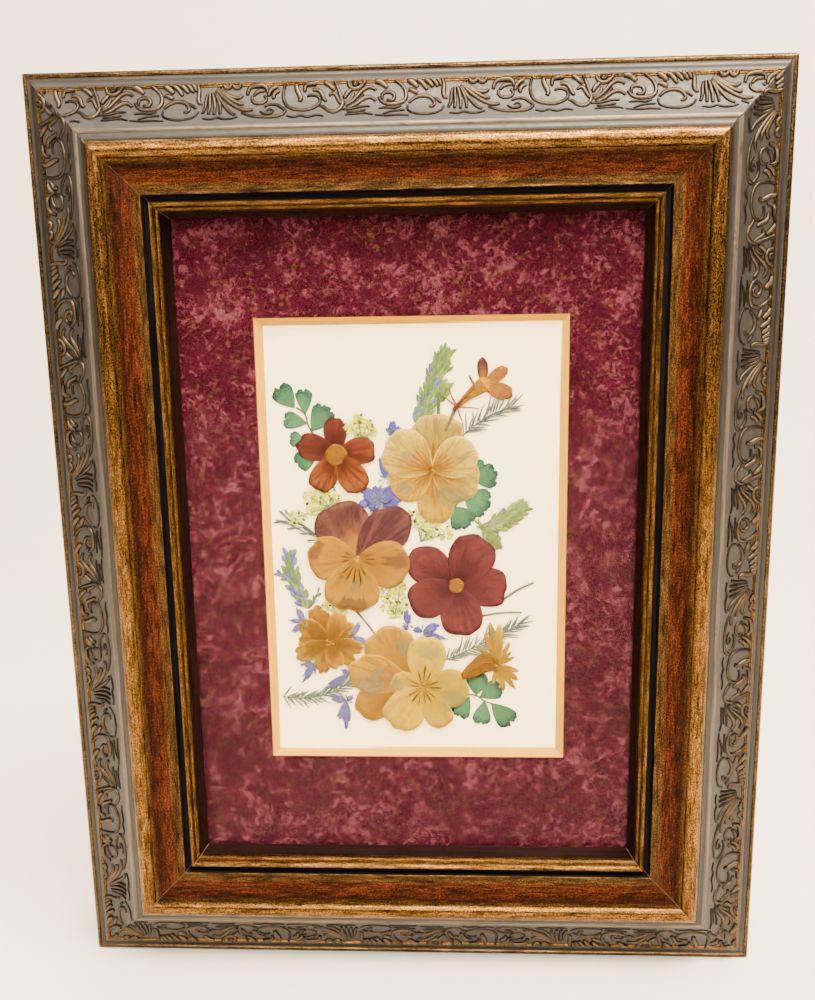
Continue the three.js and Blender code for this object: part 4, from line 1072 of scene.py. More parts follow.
def fern_finish():
    """Green leaflets with fanning veins and dark, toothed ends."""
    f = Finish("fern_green", **DRY)
    spot = f.own()
    across, out, tone = (f.axis(spot, number) for number in range(3))
    flat = f.millimetres((1, 0.1, 1))
    fan = f.combine(f.math("MULTIPLY", across, 26.0), f.math("MULTIPLY", out, 1.6), f.math("MULTIPLY", tone, 60.0))
    ribs = f.noise(fan, 1.0, 4, 0.6, 0.3)
    mottle = f.noise(flat, 1.5, 5, 0.72)
    body = f.mix(f.ramp(mottle, (0.35, 0), (0.62, 1)), (0.024, 0.068, 0.029), (0.045, 0.108, 0.045))
    body = f.mix(f.ramp(ribs, (0.52, 0), (0.7, 0.5)), body, (0.074, 0.148, 0.066))
    dark = f.math("ADD", out, f.math("MULTIPLY", f.math("SUBTRACT", f.noise(flat, 1.1, 5, 0.75), 0.5), 1.9))
    body = f.mix(f.ramp(dark, (0.72, 0), (0.86, 0.85)), body, (0.016, 0.045, 0.03))
    dots = f.math("ADD", f.cells(flat, 1.5), f.math("MULTIPLY", f.math("SUBTRACT", 1.0, out), 1.2))
    body = f.mix(f.ramp(dots, (0.52, 0.85), (0.68, 0)), body, (0.01, 0.028, 0.02))
    body = f.mix(f.ramp(out, (0.965, 0), (0.99, 0.7)), body, (0.012, 0.03, 0.02))
    body = f.shade(body, 0.85, 1.15, tone)
    height = f.math("ADD", ribs, mottle)
    return f.set(Base_Color=body, Normal=f.bump(height, 0.5, 0.12))


# What shows through the pansies' thin petals: leaves, stalks, florets and deeper patches of colour.
SAGE, ASH, PLUM = (0.105, 0.098, 0.034), (0.1, 0.08, 0.038), (0.042, 0.014, 0.016)
UNDER_PALE = (
    ((9.6, 12.4), 3.9, 2.7, -35, SAGE), ((6.9, 30.2), 3.4, 0.3, 96, SAGE), ((7.8, 29.8), 3.2, 0.22, 80, SAGE),
    ((13.6, 23.4), 2.2, 0.5, 30, SAGE), ((12.8, 22), 2, 0.45, 38, SAGE), ((-1.6, 15.2), 2.3, 1.5, -30, ASH),
    ((-3.6, 26.4), 2.4, 0.4, -52, SAGE), ((12.6, 13), 1.8, 2.8, 0, SAGE), ((-0.4, 23.4), 1.6, 1.2, 0, SAGE),
)
UNDER_PLUM = (
    ((-2.4, -3.2), 4.4, 2.4, 8, PLUM), ((-25.4, 0.6), 2.8, 4.6, 14, PLUM), ((-15.6, -15), 4.2, 2.1, 0, PLUM),
    ((-14.4, -10), 3.4, 0.8, 44, SAGE), ((-17.8, -7.6), 0.7, 0.5, 0, (0.09, 0.02, 0.003)),
)
UNDER_PEACH = (
    ((-2.6, -26.4), 3.2, 1.8, -62, ASH), ((-11.2, -37), 4.2, 3.2, 20, ASH), ((-6.4, -34.4), 4.6, 0.7, -12, ASH),
    ((-8.6, -32.6), 3, 0.5, 24, ASH),
)
UNDER_PRIMROSE = (((4.1, -28), 3.2, 2.1, -12, SAGE), ((10.2, -41.4), 3.4, 3, 40, SAGE),
                  ((-4.6, -36.8), 2.4, 1.8, 0, ASH))


def petal_finishes():
    return {m.name: m for m in (
        petal_finish(
            "rust_deep", (0.1, (0.016, 0.003, 0.002)), (0.45, (0.04, 0.007, 0.004)), (0.85, (0.07, 0.016, 0.008)),
            vein=(0.018, 0.003, 0.002), rim=(0.014, 0.004, 0.003), veins=0.75),
        petal_finish(
            "rust_brown", (0.1, (0.02, 0.004, 0.002)), (0.4, (0.055, 0.01, 0.004)), (0.9, (0.095, 0.022, 0.008)),
            vein=(0.02, 0.004, 0.002), rim=(0.02, 0.005, 0.003), veins=0.75),
        petal_finish(
            "rust_light", (0.16, (0.02, 0.004, 0.002)), (0.42, (0.06, 0.012, 0.004)), (0.75, (0.13, 0.036, 0.008)),
            vein=(0.03, 0.006, 0.002), rim=(0.06, 0.016, 0.005), veins=0.8),
        petal_finish(
            "pale_cream", (0.04, (0.08, 0.028, 0.001)), (0.2, (0.14, 0.06, 0.002)), (0.42, (0.21, 0.115, 0.007)),
            (0.75, (0.24, 0.165, 0.018)), (0.97, (0.31, 0.22, 0.024)),
            vein=(0.12, 0.05, 0.002), rim=(0.33, 0.23, 0.04), veins=0.5, under=UNDER_PALE,
            lines=((0.1, 0.036, 0.002), 0.05, 0.5, 11.0)),
        petal_finish(
            "pale_amber", (0.04, (0.08, 0.028, 0.001)), (0.3, (0.16, 0.068, 0.002)), (0.8, (0.27, 0.155, 0.004)),
            vein=(0.11, 0.04, 0.001), rim=(0.31, 0.2, 0.02), veins=0.55, under=UNDER_PALE,
            lines=((0.1, 0.036, 0.002), 0.05, 0.5, 11.0)),
        petal_finish(
            "plum_left", (0.1, (0.19, 0.08, 0.003)), (0.34, (0.17, 0.062, 0.004)), (0.5, (0.045, 0.012, 0.009)),
            (0.8, (0.022, 0.006, 0.008)), (0.97, (0.034, 0.0095, 0.0105)),
            vein=(0.095, 0.036, 0.024), veins=0.6, rim=(0.024, 0.007, 0.008), blotch=((0.14, 0.052, 0.005), 0.5)),
        petal_finish(
            "plum_right", (0.08, (0.1, 0.035, 0.004)), (0.26, (0.034, 0.009, 0.009)), (0.8, (0.024, 0.006, 0.009)),
            (0.97, (0.036, 0.009, 0.011)),
            vein=(0.085, 0.03, 0.024), veins=0.6, rim=(0.024, 0.007, 0.008), blotch=((0.018, 0.005, 0.009), 0.7)),
        petal_finish(
            "plum_side", (0.1, (0.14, 0.056, 0.002)), (0.5, (0.19, 0.084, 0.003)), (0.9, (0.25, 0.115, 0.004)),
            vein=(0.14, 0.055, 0.003), veins=0.6, rim=(0.2, 0.085, 0.006), blotch=((0.17, 0.068, 0.003), 0.6),
            lines=((0.02, 0.006, 0.003), 0.16, 0.36, 7.0), under=UNDER_PLUM),
        petal_finish(
            "plum_lower", (0.1, (0.17, 0.08, 0.002)), (0.5, (0.19, 0.09, 0.002)), (0.9, (0.26, 0.125, 0.003)),
            vein=(0.14, 0.058, 0.003), veins=0.5, rim=(0.24, 0.12, 0.006),
            lines=((0.02, 0.006, 0.003), 0.14, 0.46, 8.0), under=UNDER_PLUM),
        petal_finish(
            "wine", (0.14, (0.014, 0.002, 0.002)), (0.36, (0.04, 0.007, 0.007)), (0.75, (0.078, 0.016, 0.014)),
            vein=(0.026, 0.005, 0.006), rim=(0.03, 0.007, 0.008), veins=0.65, blotch=((0.028, 0.006, 0.008), 0.95)),
        petal_finish(
            "mustard", (0.1, (0.08, 0.031, 0.001)), (0.55, (0.11, 0.044, 0.001)), (0.92, (0.24, 0.11, 0.003)),
            vein=(0.075, 0.03, 0.001), rim=(0.28, 0.15, 0.01), veins=0.6, blotch=((0.09, 0.038, 0.002), 0.75)),
        petal_finish(
            "peach", (0.1, (0.13, 0.05, 0.001)), (0.5, (0.17, 0.075, 0.002)), (0.95, (0.24, 0.115, 0.003)),
            vein=(0.1, 0.042, 0.002), rim=(0.26, 0.14, 0.008), veins=0.55, under=UNDER_PEACH),
        petal_finish(
            "primrose", (0.08, (0.14, 0.06, 0.0005)), (0.3, (0.24, 0.145, 0.0008)), (0.9, (0.29, 0.19, 0.001)),
            vein=(0.17, 0.09, 0.002), rim=(0.27, 0.17, 0.012), veins=0.5, under=UNDER_PRIMROSE,
            lines=((0.016, 0.007, 0.002), 0.13, 0.42, 6.0)),
        petal_finish(
            "primrose_low", (0.08, (0.15, 0.065, 0.0005)), (0.3, (0.26, 0.15, 0.0008)), (0.9, (0.32, 0.195, 0.001)),
            vein=(0.2, 0.1, 0.002), rim=(0.32, 0.2, 0.01), veins=0.45, under=UNDER_PRIMROSE,
            lines=((0.016, 0.007, 0.002), 0.13, 0.4, 6.0)),
    )}


# ------------------------------------------------------------------------------------ the add-on


class PressedFrameSettings(bpy.types.PropertyGroup):
    """The sizes and colours that a user would change."""

    scroll_sides: IntProperty(name="Scroll sides", description="Faces round a scroll's ridge", default=7, min=5)
    copper: FloatVectorProperty(
        name="Copper", description="Colour of the rolls of the moulding", subtype="COLOR",
        default=(0.115, 0.054, 0.013))
    pewter: FloatVectorProperty(
        name="Pewter", description="Colour of the ornament's ground", subtype="COLOR",
        default=(0.032, 0.026, 0.021))
    mahogany: FloatVectorProperty(
        name="Mahogany", description="Colour of the wide scoop", subtype="COLOR", default=(0.055, 0.0122, 0.0036))
    gilt: FloatVectorProperty(
        name="Gilt", description="Colour rubbed on the tops of the scrolls", subtype="COLOR",
        default=(0.11, 0.074, 0.042))
    mat_dark: FloatVectorProperty(
        name="Mat, dark", description="The darker clouds of the mat", subtype="COLOR",
        default=(0.018, 0.0019, 0.0046))
    mat_light: FloatVectorProperty(
        name="Mat, rosy", description="The lighter clouds of the mat", subtype="COLOR",
        default=(0.054, 0.0108, 0.0165))
    mat_vein: FloatVectorProperty(
        name="Mat, veins", description="The fine veins of the mat", subtype="COLOR", default=(0.076, 0.019, 0.028))
    sheet: FloatVectorProperty(
        name="Mount sheet", description="The paper under the flowers", subtype="COLOR", default=(0.93, 0.78, 0.44))
    key_light: FloatProperty(name="Key light", description="Power of the main lamp", default=42.0, unit="POWER")


class FRAME_OT_moulding(bpy.types.Operator):
    """Builds the four mitred rails with their wiped copper, pewter and mahogany finishes"""

    bl_idname = "pressed_frame.moulding"
    bl_label = "Moulding"

    def execute(self, context):
        keep = settings()
        copper, pewter, wood = (tuple(c) for c in (keep.copper, keep.pewter, keep.mahogany))
        bronze = bronze_finish(copper, wood)
        finishes = {zone: moulding_finish(name, *look) for zone, name, *look in (
            ("pewter", "pewter_cove", [c * 0.56 for c in pewter], [c * 1.12 for c in pewter], (0.16, 0.13, 0.1),
             0.5, 0.38, 0.2),
            ("ground", "pewter_ground", [c * 0.7 for c in pewter], [c * 1.35 for c in pewter], (0.14, 0.11, 0.08),
             0.45, 0.42, 0.3, 0.9),
            ("fillet", "tan_fillet", (0.05, 0.036, 0.024), (0.14, 0.1, 0.065), (0.25, 0.2, 0.13), 0.5, 0.38, 0.2),
            ("groove", "black_groove", (0.002, 0.0018, 0.002), (0.007, 0.006, 0.007), (0.012, 0.01, 0.01),
             0.0, 0.5, 0.2, 0.5, 0.02),
            # the sight wall's near-black is partly its own dark colour and partly painted shade
            ("wall", "dark_sight_wall", (0.003, 0.001, 0.001), (0.012, 0.003, 0.002), (0.05, 0.02, 0.01),
             0.0, 0.5, 0.6, 0.5, 0.05),
            ("side", "stained_side", (0.03, 0.016, 0.009), (0.1, 0.05, 0.022), (0.2, 0.12, 0.06),
             0.1, 0.45, 0.5, 1.0),
        )}
        finishes.update(copper=bronze, scoop=bronze, line=bronze, bare=bare_wood())
        for side in RAILS:
            build_rail(side, finishes)
        return {"FINISHED"}


class FRAME_OT_scrollwork(bpy.types.Operator):
    """Repeats the raised scrolls and leaves along each rail and cuts them at the mitres"""

    bl_idname = "pressed_frame.scrollwork"
    bl_label = "Scrollwork"

    def execute(self, context):
        strokes, tree = scroll_strokes(), scroll_tree()
        gilt = tuple(settings().gilt)
        # the near-black given here is painted shade at the scrolls' feet; the gilt is rubbed on their tops
        finish = scroll_gilt_and_painted_shade((0.008, 0.006, 0.005), gilt)
        for side, (along, inward, shift) in RAILS.items():
            reach, spot = rail_frame(side)
            values = {
                "Pitch": SCROLL_PITCH * MM, "Shift": shift * MM, "Half Length": reach * MM, "Repeats": 5,
                "Sides": settings().scroll_sides, "Finish": finish,
            }
            origin = place(*spot(0, 0, 0))
            x_way = place(*spot(1, 0, 0)) - origin
            y_way = place(*spot(0, -1, 0)) - origin
            z_way = place(*spot(0, 0, 1)) - origin
            turn = Matrix.Translation(origin) @ Matrix((x_way, y_way, z_way)).transposed().to_4x4().normalized()
            thing = grown(f"scrollwork_{side}", strokes, tree, values, turn)
            hand_in(thing, "moulding")
        return {"FINISHED"}


class FRAME_OT_glazing(bpy.types.Operator):
    """Builds the marbled mat and finishes the glass, mount sheet, backing board and points"""

    bl_idname = "pressed_frame.glazing"
    bl_label = "Glazing and mat"

    def execute(self, context):
        build_mat(marbled_paper(), bevel_finish(), plain_paper("mat_core", (0.8, 0.76, 0.68)))
        repaint("glass", clear_glass())
        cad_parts["glass"].visible_shadow = False
        repaint("mount_sheet", plain_paper("mount_paper", tuple(settings().sheet), 0.9, 0.05, 0.12))
        repaint("backing_board", plain_paper("grey_board", (0.42, 0.36, 0.29), 0.9, 0.2, 0.5))
        steel = stamped_steel()
        for number in range(1, 7):
            repaint(f"glazier_point_{number}", steel)
        return {"FINISHED"}


class FRAME_OT_back(bpy.types.Operator):
    """Finishes the paper dust cover, the toothed hanger and its nails"""

    bl_idname = "pressed_frame.back"
    bl_label = "Back"

    def execute(self, context):
        repaint("dust_cover", plain_paper("kraft_paper", (0.42, 0.27, 0.14), 0.85, 0.18, 0.35))
        steel = stamped_steel()
        for node in ("hanger", "hanger_nail_left", "hanger_nail_right"):
            repaint(node, steel)
        return {"FINISHED"}


class FRAME_OT_flowers(bpy.types.Operator):
    """Lays the seven open flowers, petal over petal, with their centres"""

    bl_idname = "pressed_frame.flowers"
    bl_label = "Open flowers"

    def execute(self, context):
        finishes = petal_finishes()
        bead = small_leaf("bead", ring_outline(0.5, 7), 2, 0.16, 0.1)
        crumb = sprout_finish("amber_crumb", (0.1, 0.038, 0.001), (0.155, 0.064, 0.002), (0.21, 0.094, 0.003),
                              (0.07, 0.025, 0.002), 0.25)
        pale_crumb = sprout_finish("cream_crumb", (0.2, 0.1, 0.006), (0.28, 0.15, 0.01), (0.36, 0.22, 0.02),
                                   (0.07, 0.022, 0.002), 0.35)
        amber = stem_finish("amber_disc", (0.07, 0.025, 0.001), (0.14, 0.054, 0.002))
        draw = random.Random(11)
        for number, (node, (slot, (x, y), ruffle, petals)) in enumerate(FLOWERS.items()):
            _, front = depths(node)
            names = sorted({petal[0] for petal in petals})
            flower = Surface()
            for i, (finish, degrees, length, width, notch) in enumerate(petals):
                outline = petal_outline(length, width, notch, ruffle, 10 * number + i)
                height = front - 0.05 * (len(petals) - 1 - i)
                tone = draw.random()
                flower.patch((x, y), turned(outline, (x, y), degrees), height, 9, tone, 0.04, names.index(finish))
            radius, crumbs, finish = {
                "rust_flower": (2.7, 70, crumb), "burgundy_flower": (1.9, 40, crumb),
                "tan_flower": (1.2, 16, pale_crumb),
            }.get(node, (1.0, 14, pale_crumb))
            if radius > 1.5:
                disc = turned(ring_outline(radius, 48, 0.14, number), (x, y), 0)
                flower.patch((x, y), disc, front + 0.05, 4, 0.5, 0.12, len(names))
            materials = [finishes[name] for name in names] + [amber]
            hand_in(flower.piece(node, materials, thickness=PRESSED), slot, node)
            spots = scattered(x, y, radius * 0.92, crumbs, front + 0.08, 0.42, draw)
            sprouts(f"{node}_centre", bead, spots, finish, slot)
        bpy.data.objects.remove(bead)
        return {"FINISHED"}


class FRAME_OT_blooms(bpy.types.Operator):
    """Lays the trumpet-shaped bloom with its sepals and stem, and the rayed flower head"""

    bl_idname = "pressed_frame.blooms"
    bl_label = "Trumpet bloom and rayed head"

    def execute(self, context):
        _, front = depths("tubular_bloom")
        lobe = petal_finish(
            "trumpet_lobe", (0.1, (0.28, 0.13, 0.004)), (0.4, (0.18, 0.07, 0.006)), (0.85, (0.17, 0.058, 0.011)),
            vein=(0.1, 0.034, 0.01), rim=(0.06, 0.018, 0.012), veins=0.5)
        tip = petal_finish(
            "trumpet_tip", (0.1, (0.24, 0.11, 0.004)), (0.5, (0.14, 0.055, 0.005)), (0.7, (0.07, 0.02, 0.012)),
            (0.86, (0.022, 0.004, 0.01)),
            vein=(0.07, 0.035, 0.01), rim=(0.05, 0.016, 0.016), veins=0.5)
        tube = stem_finish("trumpet_tube", (0.08, 0.03, 0.002), (0.21, 0.09, 0.005))
        twig = stem_finish("trumpet_stem", (0.05, 0.03, 0.02), (0.1, 0.07, 0.045))
        joint = stem_finish("maroon_joint", (0.02, 0.006, 0.005), (0.06, 0.02, 0.01))
        sepal = stem_finish("red_sepal", (0.12, 0.04, 0.014), (0.2, 0.08, 0.03))
        throat = stem_finish("yellow_throat", (0.22, 0.11, 0.003), (0.36, 0.2, 0.008))
        bloom, mouth = Surface(), (18.2, 40.4)
        stem(bloom, ((8.8, 29.5), (10.2, 32.4), (11.4, 35.4)), 0.8, front - 0.1, slot=3, taper=1.1)
        for line, width in ((((11.4, 35.6), (8.2, 38.2)), 0.34), (((11.6, 35.8), (10.4, 38), (9.8, 40.6)), 0.42),
                            (((11.8, 35.2), (14.4, 35.2), (17.2, 34.8)), 0.36), (((11.8, 35), (12.8, 32)), 0.4)):
            stem(bloom, line, width, front - 0.14, slot=5, taper=0.35)
        for finish, degrees, length, width in ((1, 93, 6.9, 3.2), (0, 38, 7.2, 3.7), (0, -18, 7.3, 5)):
            outline = turned(petal_outline(length, width, 0, 0.07, degrees), mouth, degrees)
            bloom.patch(mouth, outline, front - 0.04, 7, 0.5, 0.05, finish)
        line = smooth_line(((11.2, 35), (12.8, 36.5), (14.4, 37.9), (16.6, 39.6), (18.7, 41)), 0.5)
        halves = [0.45 + 1.55 * (i / (len(line) - 1)) ** 1.15 for i in range(len(line))]
        bloom.ribbon(line, halves, front, 0.5, 2, across=8, crown=0.2)
        stem(bloom, ((10.9, 34.5), (11.8, 35.6), (13.1, 36.9)), 1.1, front + 0.12, slot=4, taper=0.4)
        stem(bloom, ((12.4, 36.3), (14.6, 38.6), (16.2, 40)), 0.35, front + 0.12, slot=4, taper=0.6)
        stem(bloom, ((14.7, 43), (15.4, 41.6), (16.3, 40.2)), 0.55, front + 0.12, slot=3)
        for ray in range(9):
            way = math.radians(-40 + 21 * ray)
            stem(bloom, ((18.4, 40.6), (18.4 + 1.7 * math.cos(way), 40.6 + 2.0 * math.sin(way))), 0.34,
                 front + 0.1, slot=6)
        names = [lobe, tip, tube, twig, joint, sepal, throat]
        hand_in(bloom.piece("tubular_bloom", names, thickness=PRESSED), "amber_petal", "tubular_bloom")

        _, front = depths("rayed_flower")
        ray_finish = petal_finish(
            "yellow_ray", (0.1, (0.12, 0.055, 0.0003)), (0.5, (0.18, 0.095, 0.0003)), (0.9, (0.24, 0.13, 0.0005)),
            vein=(0.1, 0.045, 0.0005), rim=(0.26, 0.15, 0.002), veins=0.6)
        cone = stem_finish("striped_cone", (0.04, 0.014, 0.001), (0.13, 0.055, 0.001))
        head, heart = Surface(), (21.8, -31.4)
        rays = ((100, 11.7, 2.6), (136, 7.4, 1.8), (64, 6.9, 1.6), (28, 4.8, 1.3), (-18, 5.6, 1.7), (-38, 6.5, 1.9),
                (-56, 7.8, 1.9), (-78, 7.1, 2.2), (-104, 5.4, 1.8), (88, 11.2, 2.8), (112, 9.4, 1.9), (48, 5, 1.2))
        for i, (degrees, length, width) in enumerate(rays):
            outline = turned(petal_outline(length, width, 0, 0.1, i, 22, 0.3), heart, degrees)
            head.patch(heart, outline, front - 0.03 * (len(rays) - i), 5, (i % 5) / 4, 0.06)
        body = smooth_line(((12.6, -34.4), (14.2, -33.2), (15.6, -32.4), (17.6, -31), (19.4, -30.6), (21, -30.9)),
                           0.5)
        for strand in range(7):
            offset = strand - 3
            line, halves = [], []
            for i, (px, py) in enumerate(body):
                t = i / (len(body) - 1)
                swell = math.sin(math.pi * min(0.96, 0.62 * t + 0.06)) ** 0.8
                line.append((px - 0.28 * offset * t, py + 0.66 * offset * swell))
                halves.append(0.12 + 0.42 * math.sin(math.pi * (0.1 + 0.8 * t)))
            head.ribbon(line, halves, front + 0.05 + 0.03 * (3 - abs(offset)), (strand % 3) / 2, 1, across=4,
                        crown=0.12)
        hand_in(head.piece("rayed_flower", [ray_finish, cone], thickness=PRESSED), "amber_petal", "rayed_flower")
        return {"FINISHED"}


class FRAME_OT_ferns(bpy.types.Operator):
    """Lays the three fern fronds, their leaflets cut into toothed lobes"""

    bl_idname = "pressed_frame.ferns"
    bl_label = "Fern fronds"

    def execute(self, context):
        green, stalk = fern_finish(), stem_finish("fern_stalk", (0.035, 0.02, 0.015), (0.09, 0.06, 0.04))
        for node, (leaflets, stems) in FERNS.items():
            _, front = depths(node)
            fern = Surface()
            for line in stems:
                stem(fern, line, 0.34, front, slot=1)
            for i, (x, y, degrees, length, spread, lobes) in enumerate(leaflets):
                outline = turned(fan_outline(length, spread, lobes, 7.7 * i), (x, y), degrees)
                fern.patch((x, y), outline, front - 0.02 * i, 8, (0.37 * i) % 1, 0.08)
            hand_in(fern.piece(node, [green, stalk], thickness=PRESSED), "fern_green", node)
        return {"FINISHED"}


class FRAME_OT_sprigs(bpy.types.Operator):
    """Grows the needle sprigs and the bract-covered flower spikes"""

    bl_idname = "pressed_frame.sprigs"
    bl_label = "Sprigs and spikes"

    def execute(self, context):
        draw = random.Random(5)
        needle = small_leaf("needle", leaf_outline(5, 0.7), 2, 0.04, 0.09)
        bract = small_leaf("bract", leaf_outline(7, 0.62), 3, 0.1, 0.08)
        grey = sprout_finish("grey_needle", (0.035, 0.045, 0.042), (0.08, 0.105, 0.092), (0.02, 0.028, 0.028))
        mossy = sprout_finish("mossy_needle", (0.035, 0.055, 0.04), (0.08, 0.12, 0.085), (0.02, 0.036, 0.028))
        spike = sprout_finish("spike_bract", (0.01, 0.02, 0.007), (0.078, 0.122, 0.028), (0.078, 0.115, 0.032),
                              (0.05, 0.06, 0.15), 0.09)
        pale_spike = sprout_finish("grey_bract", (0.014, 0.022, 0.008), (0.1, 0.13, 0.03), (0.1, 0.125, 0.03),
                                   (0.07, 0.08, 0.09), 0.04)
        blue_spike = sprout_finish("blue_bract", (0.035, 0.05, 0.02), (0.09, 0.125, 0.045), (0.05, 0.065, 0.04),
                                   (0.07, 0.065, 0.19), 0.36)
        dark = sprout_finish("dark_leaf", (0.02, 0.024, 0.018), (0.07, 0.08, 0.06), (0.016, 0.018, 0.015))
        twig = stem_finish("grey_twig", (0.03, 0.035, 0.03), (0.08, 0.09, 0.07))
        green_twig = stem_finish("green_twig", (0.03, 0.045, 0.016), (0.07, 0.1, 0.03))
        for node, start, end, bow, pairs, length, lean, finish in (
            ("needle_sprig_top", (13.2, 28.4), (25.2, 35.2), 0.9, 18, 4.2, (46, 30), grey),
            ("needle_sprig_middle", (8.4, -30), (27.6, -20.2), -0.4, 25, 4.0, (42, 38), grey),
            ("needle_sprig_left", (-34.4, -40.2), (-15.6, -35.2), -2.4, 24, 3.7, (46, 40), mossy),
        ):
            _, front = depths(node)
            spots = needle_spots(start, end, bow, pairs, length, 0.46, lean, front, draw)
            sprouts(node, needle, spots, finish, "grey_green", node)
            wood = Surface()
            wood.ribbon([bowed(start, end, bow, i / 24)[0] for i in range(25)], [0.1] * 25, front, 0.5, 0, 4, 0.1)
            hand_in(wood.piece(f"{node}_twig", [twig], thickness=PRESSED), "grey_green")
        _, front = depths("dark_sprig")
        leaves = (  # x, y, degrees, length and width
            (-35, 6.4, 8, 4, 0.6), (-34.4, 7.2, -10, 4.2, 0.5), (-33.4, 9.8, -44, 4.2, 0.65),
            (-32, 10, -50, 2.8, 0.5), (-33, 6.6, -14, 3.8, 0.5), (-31.4, 7.4, -22, 4.4, 0.65),
            (-31, 6.2, -28, 5, 0.6), (-29.6, 8, -50, 3.4, 0.5), (-31.8, 4.8, 6, 4.6, 0.55),
            (-28.2, 6.4, -34, 4.4, 0.6), (-27.6, 5.4, -30, 4.8, 0.75), (-28.6, 3.6, 2, 4.4, 0.65),
            (-26.8, 3.9, -20, 3.4, 0.5), (-26.6, 1.8, 4, 2.6, 0.55))
        spots = [(x, y, front + 0.02 * i, degrees, length, width, 0.13 * i % 1)
                 for i, (x, y, degrees, length, width) in enumerate(leaves)]
        sprouts("dark_sprig", bract, spots, dark, "dark_stem", "dark_sprig")
        for node, runs, finish in (
            ("flower_spike_top", (((2.2, 30.4), (9.3, 49.4), 0.2, 2.3, 24, 4, 2.7, 1.05),
                                  ((7.2, 36.8), (8.8, 40.2), 0, 1.6, 5, 3, 2.4, 1.2)), spike),
            ("flower_spike_right", (((18.9, 4.8), (28.2, 10.6), -0.5, 2.3, 15, 4, 2.3, 1.2),
                                    ((18.5, 6.2), (21.3, 0.4), 0, 2.1, 8, 4, 2, 1.2),
                                    ((18.6, 4.4), (16.9, 6.0), 0, 0.7, 3, 2, 1.6, 0.7)), pale_spike),
            ("flower_spike_left", (((-26.2, -16), (-31.2, -1.4), 1.5, 1.9, 13, 3, 2.7, 1.3),
                                   ((-31, -8.6), (-33.7, -6.8), 0, 0.9, 4, 2, 1.9, 0.9),
                                   ((-25.8, -15), (-24, -11.8), 0, 0.5, 4, 1, 1.6, 0.7)), blue_spike),
        ):
            _, front = depths(node)
            spots = []
            for start, end, bow, half, rows, each, length, width in runs:
                spots += bract_spots(start, end, bow, half, rows, each, length, width, front, draw)
            sprouts(node, bract, spots, finish, "spike_green", node)
            stalk = Surface()
            for start, end, bow, half, *_ in runs:
                halves = [0.7 * half * math.sin(math.pi * (0.14 + 0.76 * i / 16)) for i in range(17)]
                stalk.ribbon([bowed(start, end, bow, 0.96 * i / 16)[0] for i in range(17)], halves, front - 0.12,
                             0.5, 0, 4, 0.02)
            if node == "flower_spike_top":
                stem(stalk, ((7.5, 39), (7.15, 35), (7.2, 31), (7.6, 28)), 0.8, front, slot=0, taper=0.9)
            hand_in(stalk.piece(f"{node}_stalk", [green_twig], thickness=PRESSED), "spike_green")
        bpy.data.objects.remove(needle)
        bpy.data.objects.remove(bract)
        return {"FINISHED"}


class FRAME_OT_umbels(bpy.types.Operator):
    """Lays the small cream umbels with their rays and dotted florets"""

    bl_idname = "pressed_frame.umbels"
    bl_label = "Cream umbels"

    def execute(self, context):
        draw = random.Random(23)
        floret = small_leaf("floret", leaf_outline(4, 0.6), 2, 0.1, 0.09)
        cream = sprout_finish("cream_floret", (0.2, 0.25, 0.004), (0.4, 0.41, 0.004), (0.48, 0.46, 0.01),
                              (0.035, 0.028, 0.01), 0.13)
        ray = stem_finish("umbel_ray", (0.05, 0.075, 0.03), (0.12, 0.16, 0.07))
        for node, (foot, clusters) in UMBELS.items():
            _, front = depths(node)
            rays, spots = Surface(), []
            for x, y, radius in clusters:
                stem(rays, (foot, ((foot[0] + x) / 2 + 0.15, (foot[1] + y) / 2), (x, y)), 0.26, front - 0.12)
                spots += scattered(x, y, radius * 1.15, round(9 + 11 * radius), front, 0.9, draw, 0.8)
            hand_in(rays.piece(f"{node}_rays", [ray], thickness=PRESSED), "cream_floret")
            sprouts(node, floret, spots, cream, "cream_floret", node)
        bpy.data.objects.remove(floret)
        return {"FINISHED"}


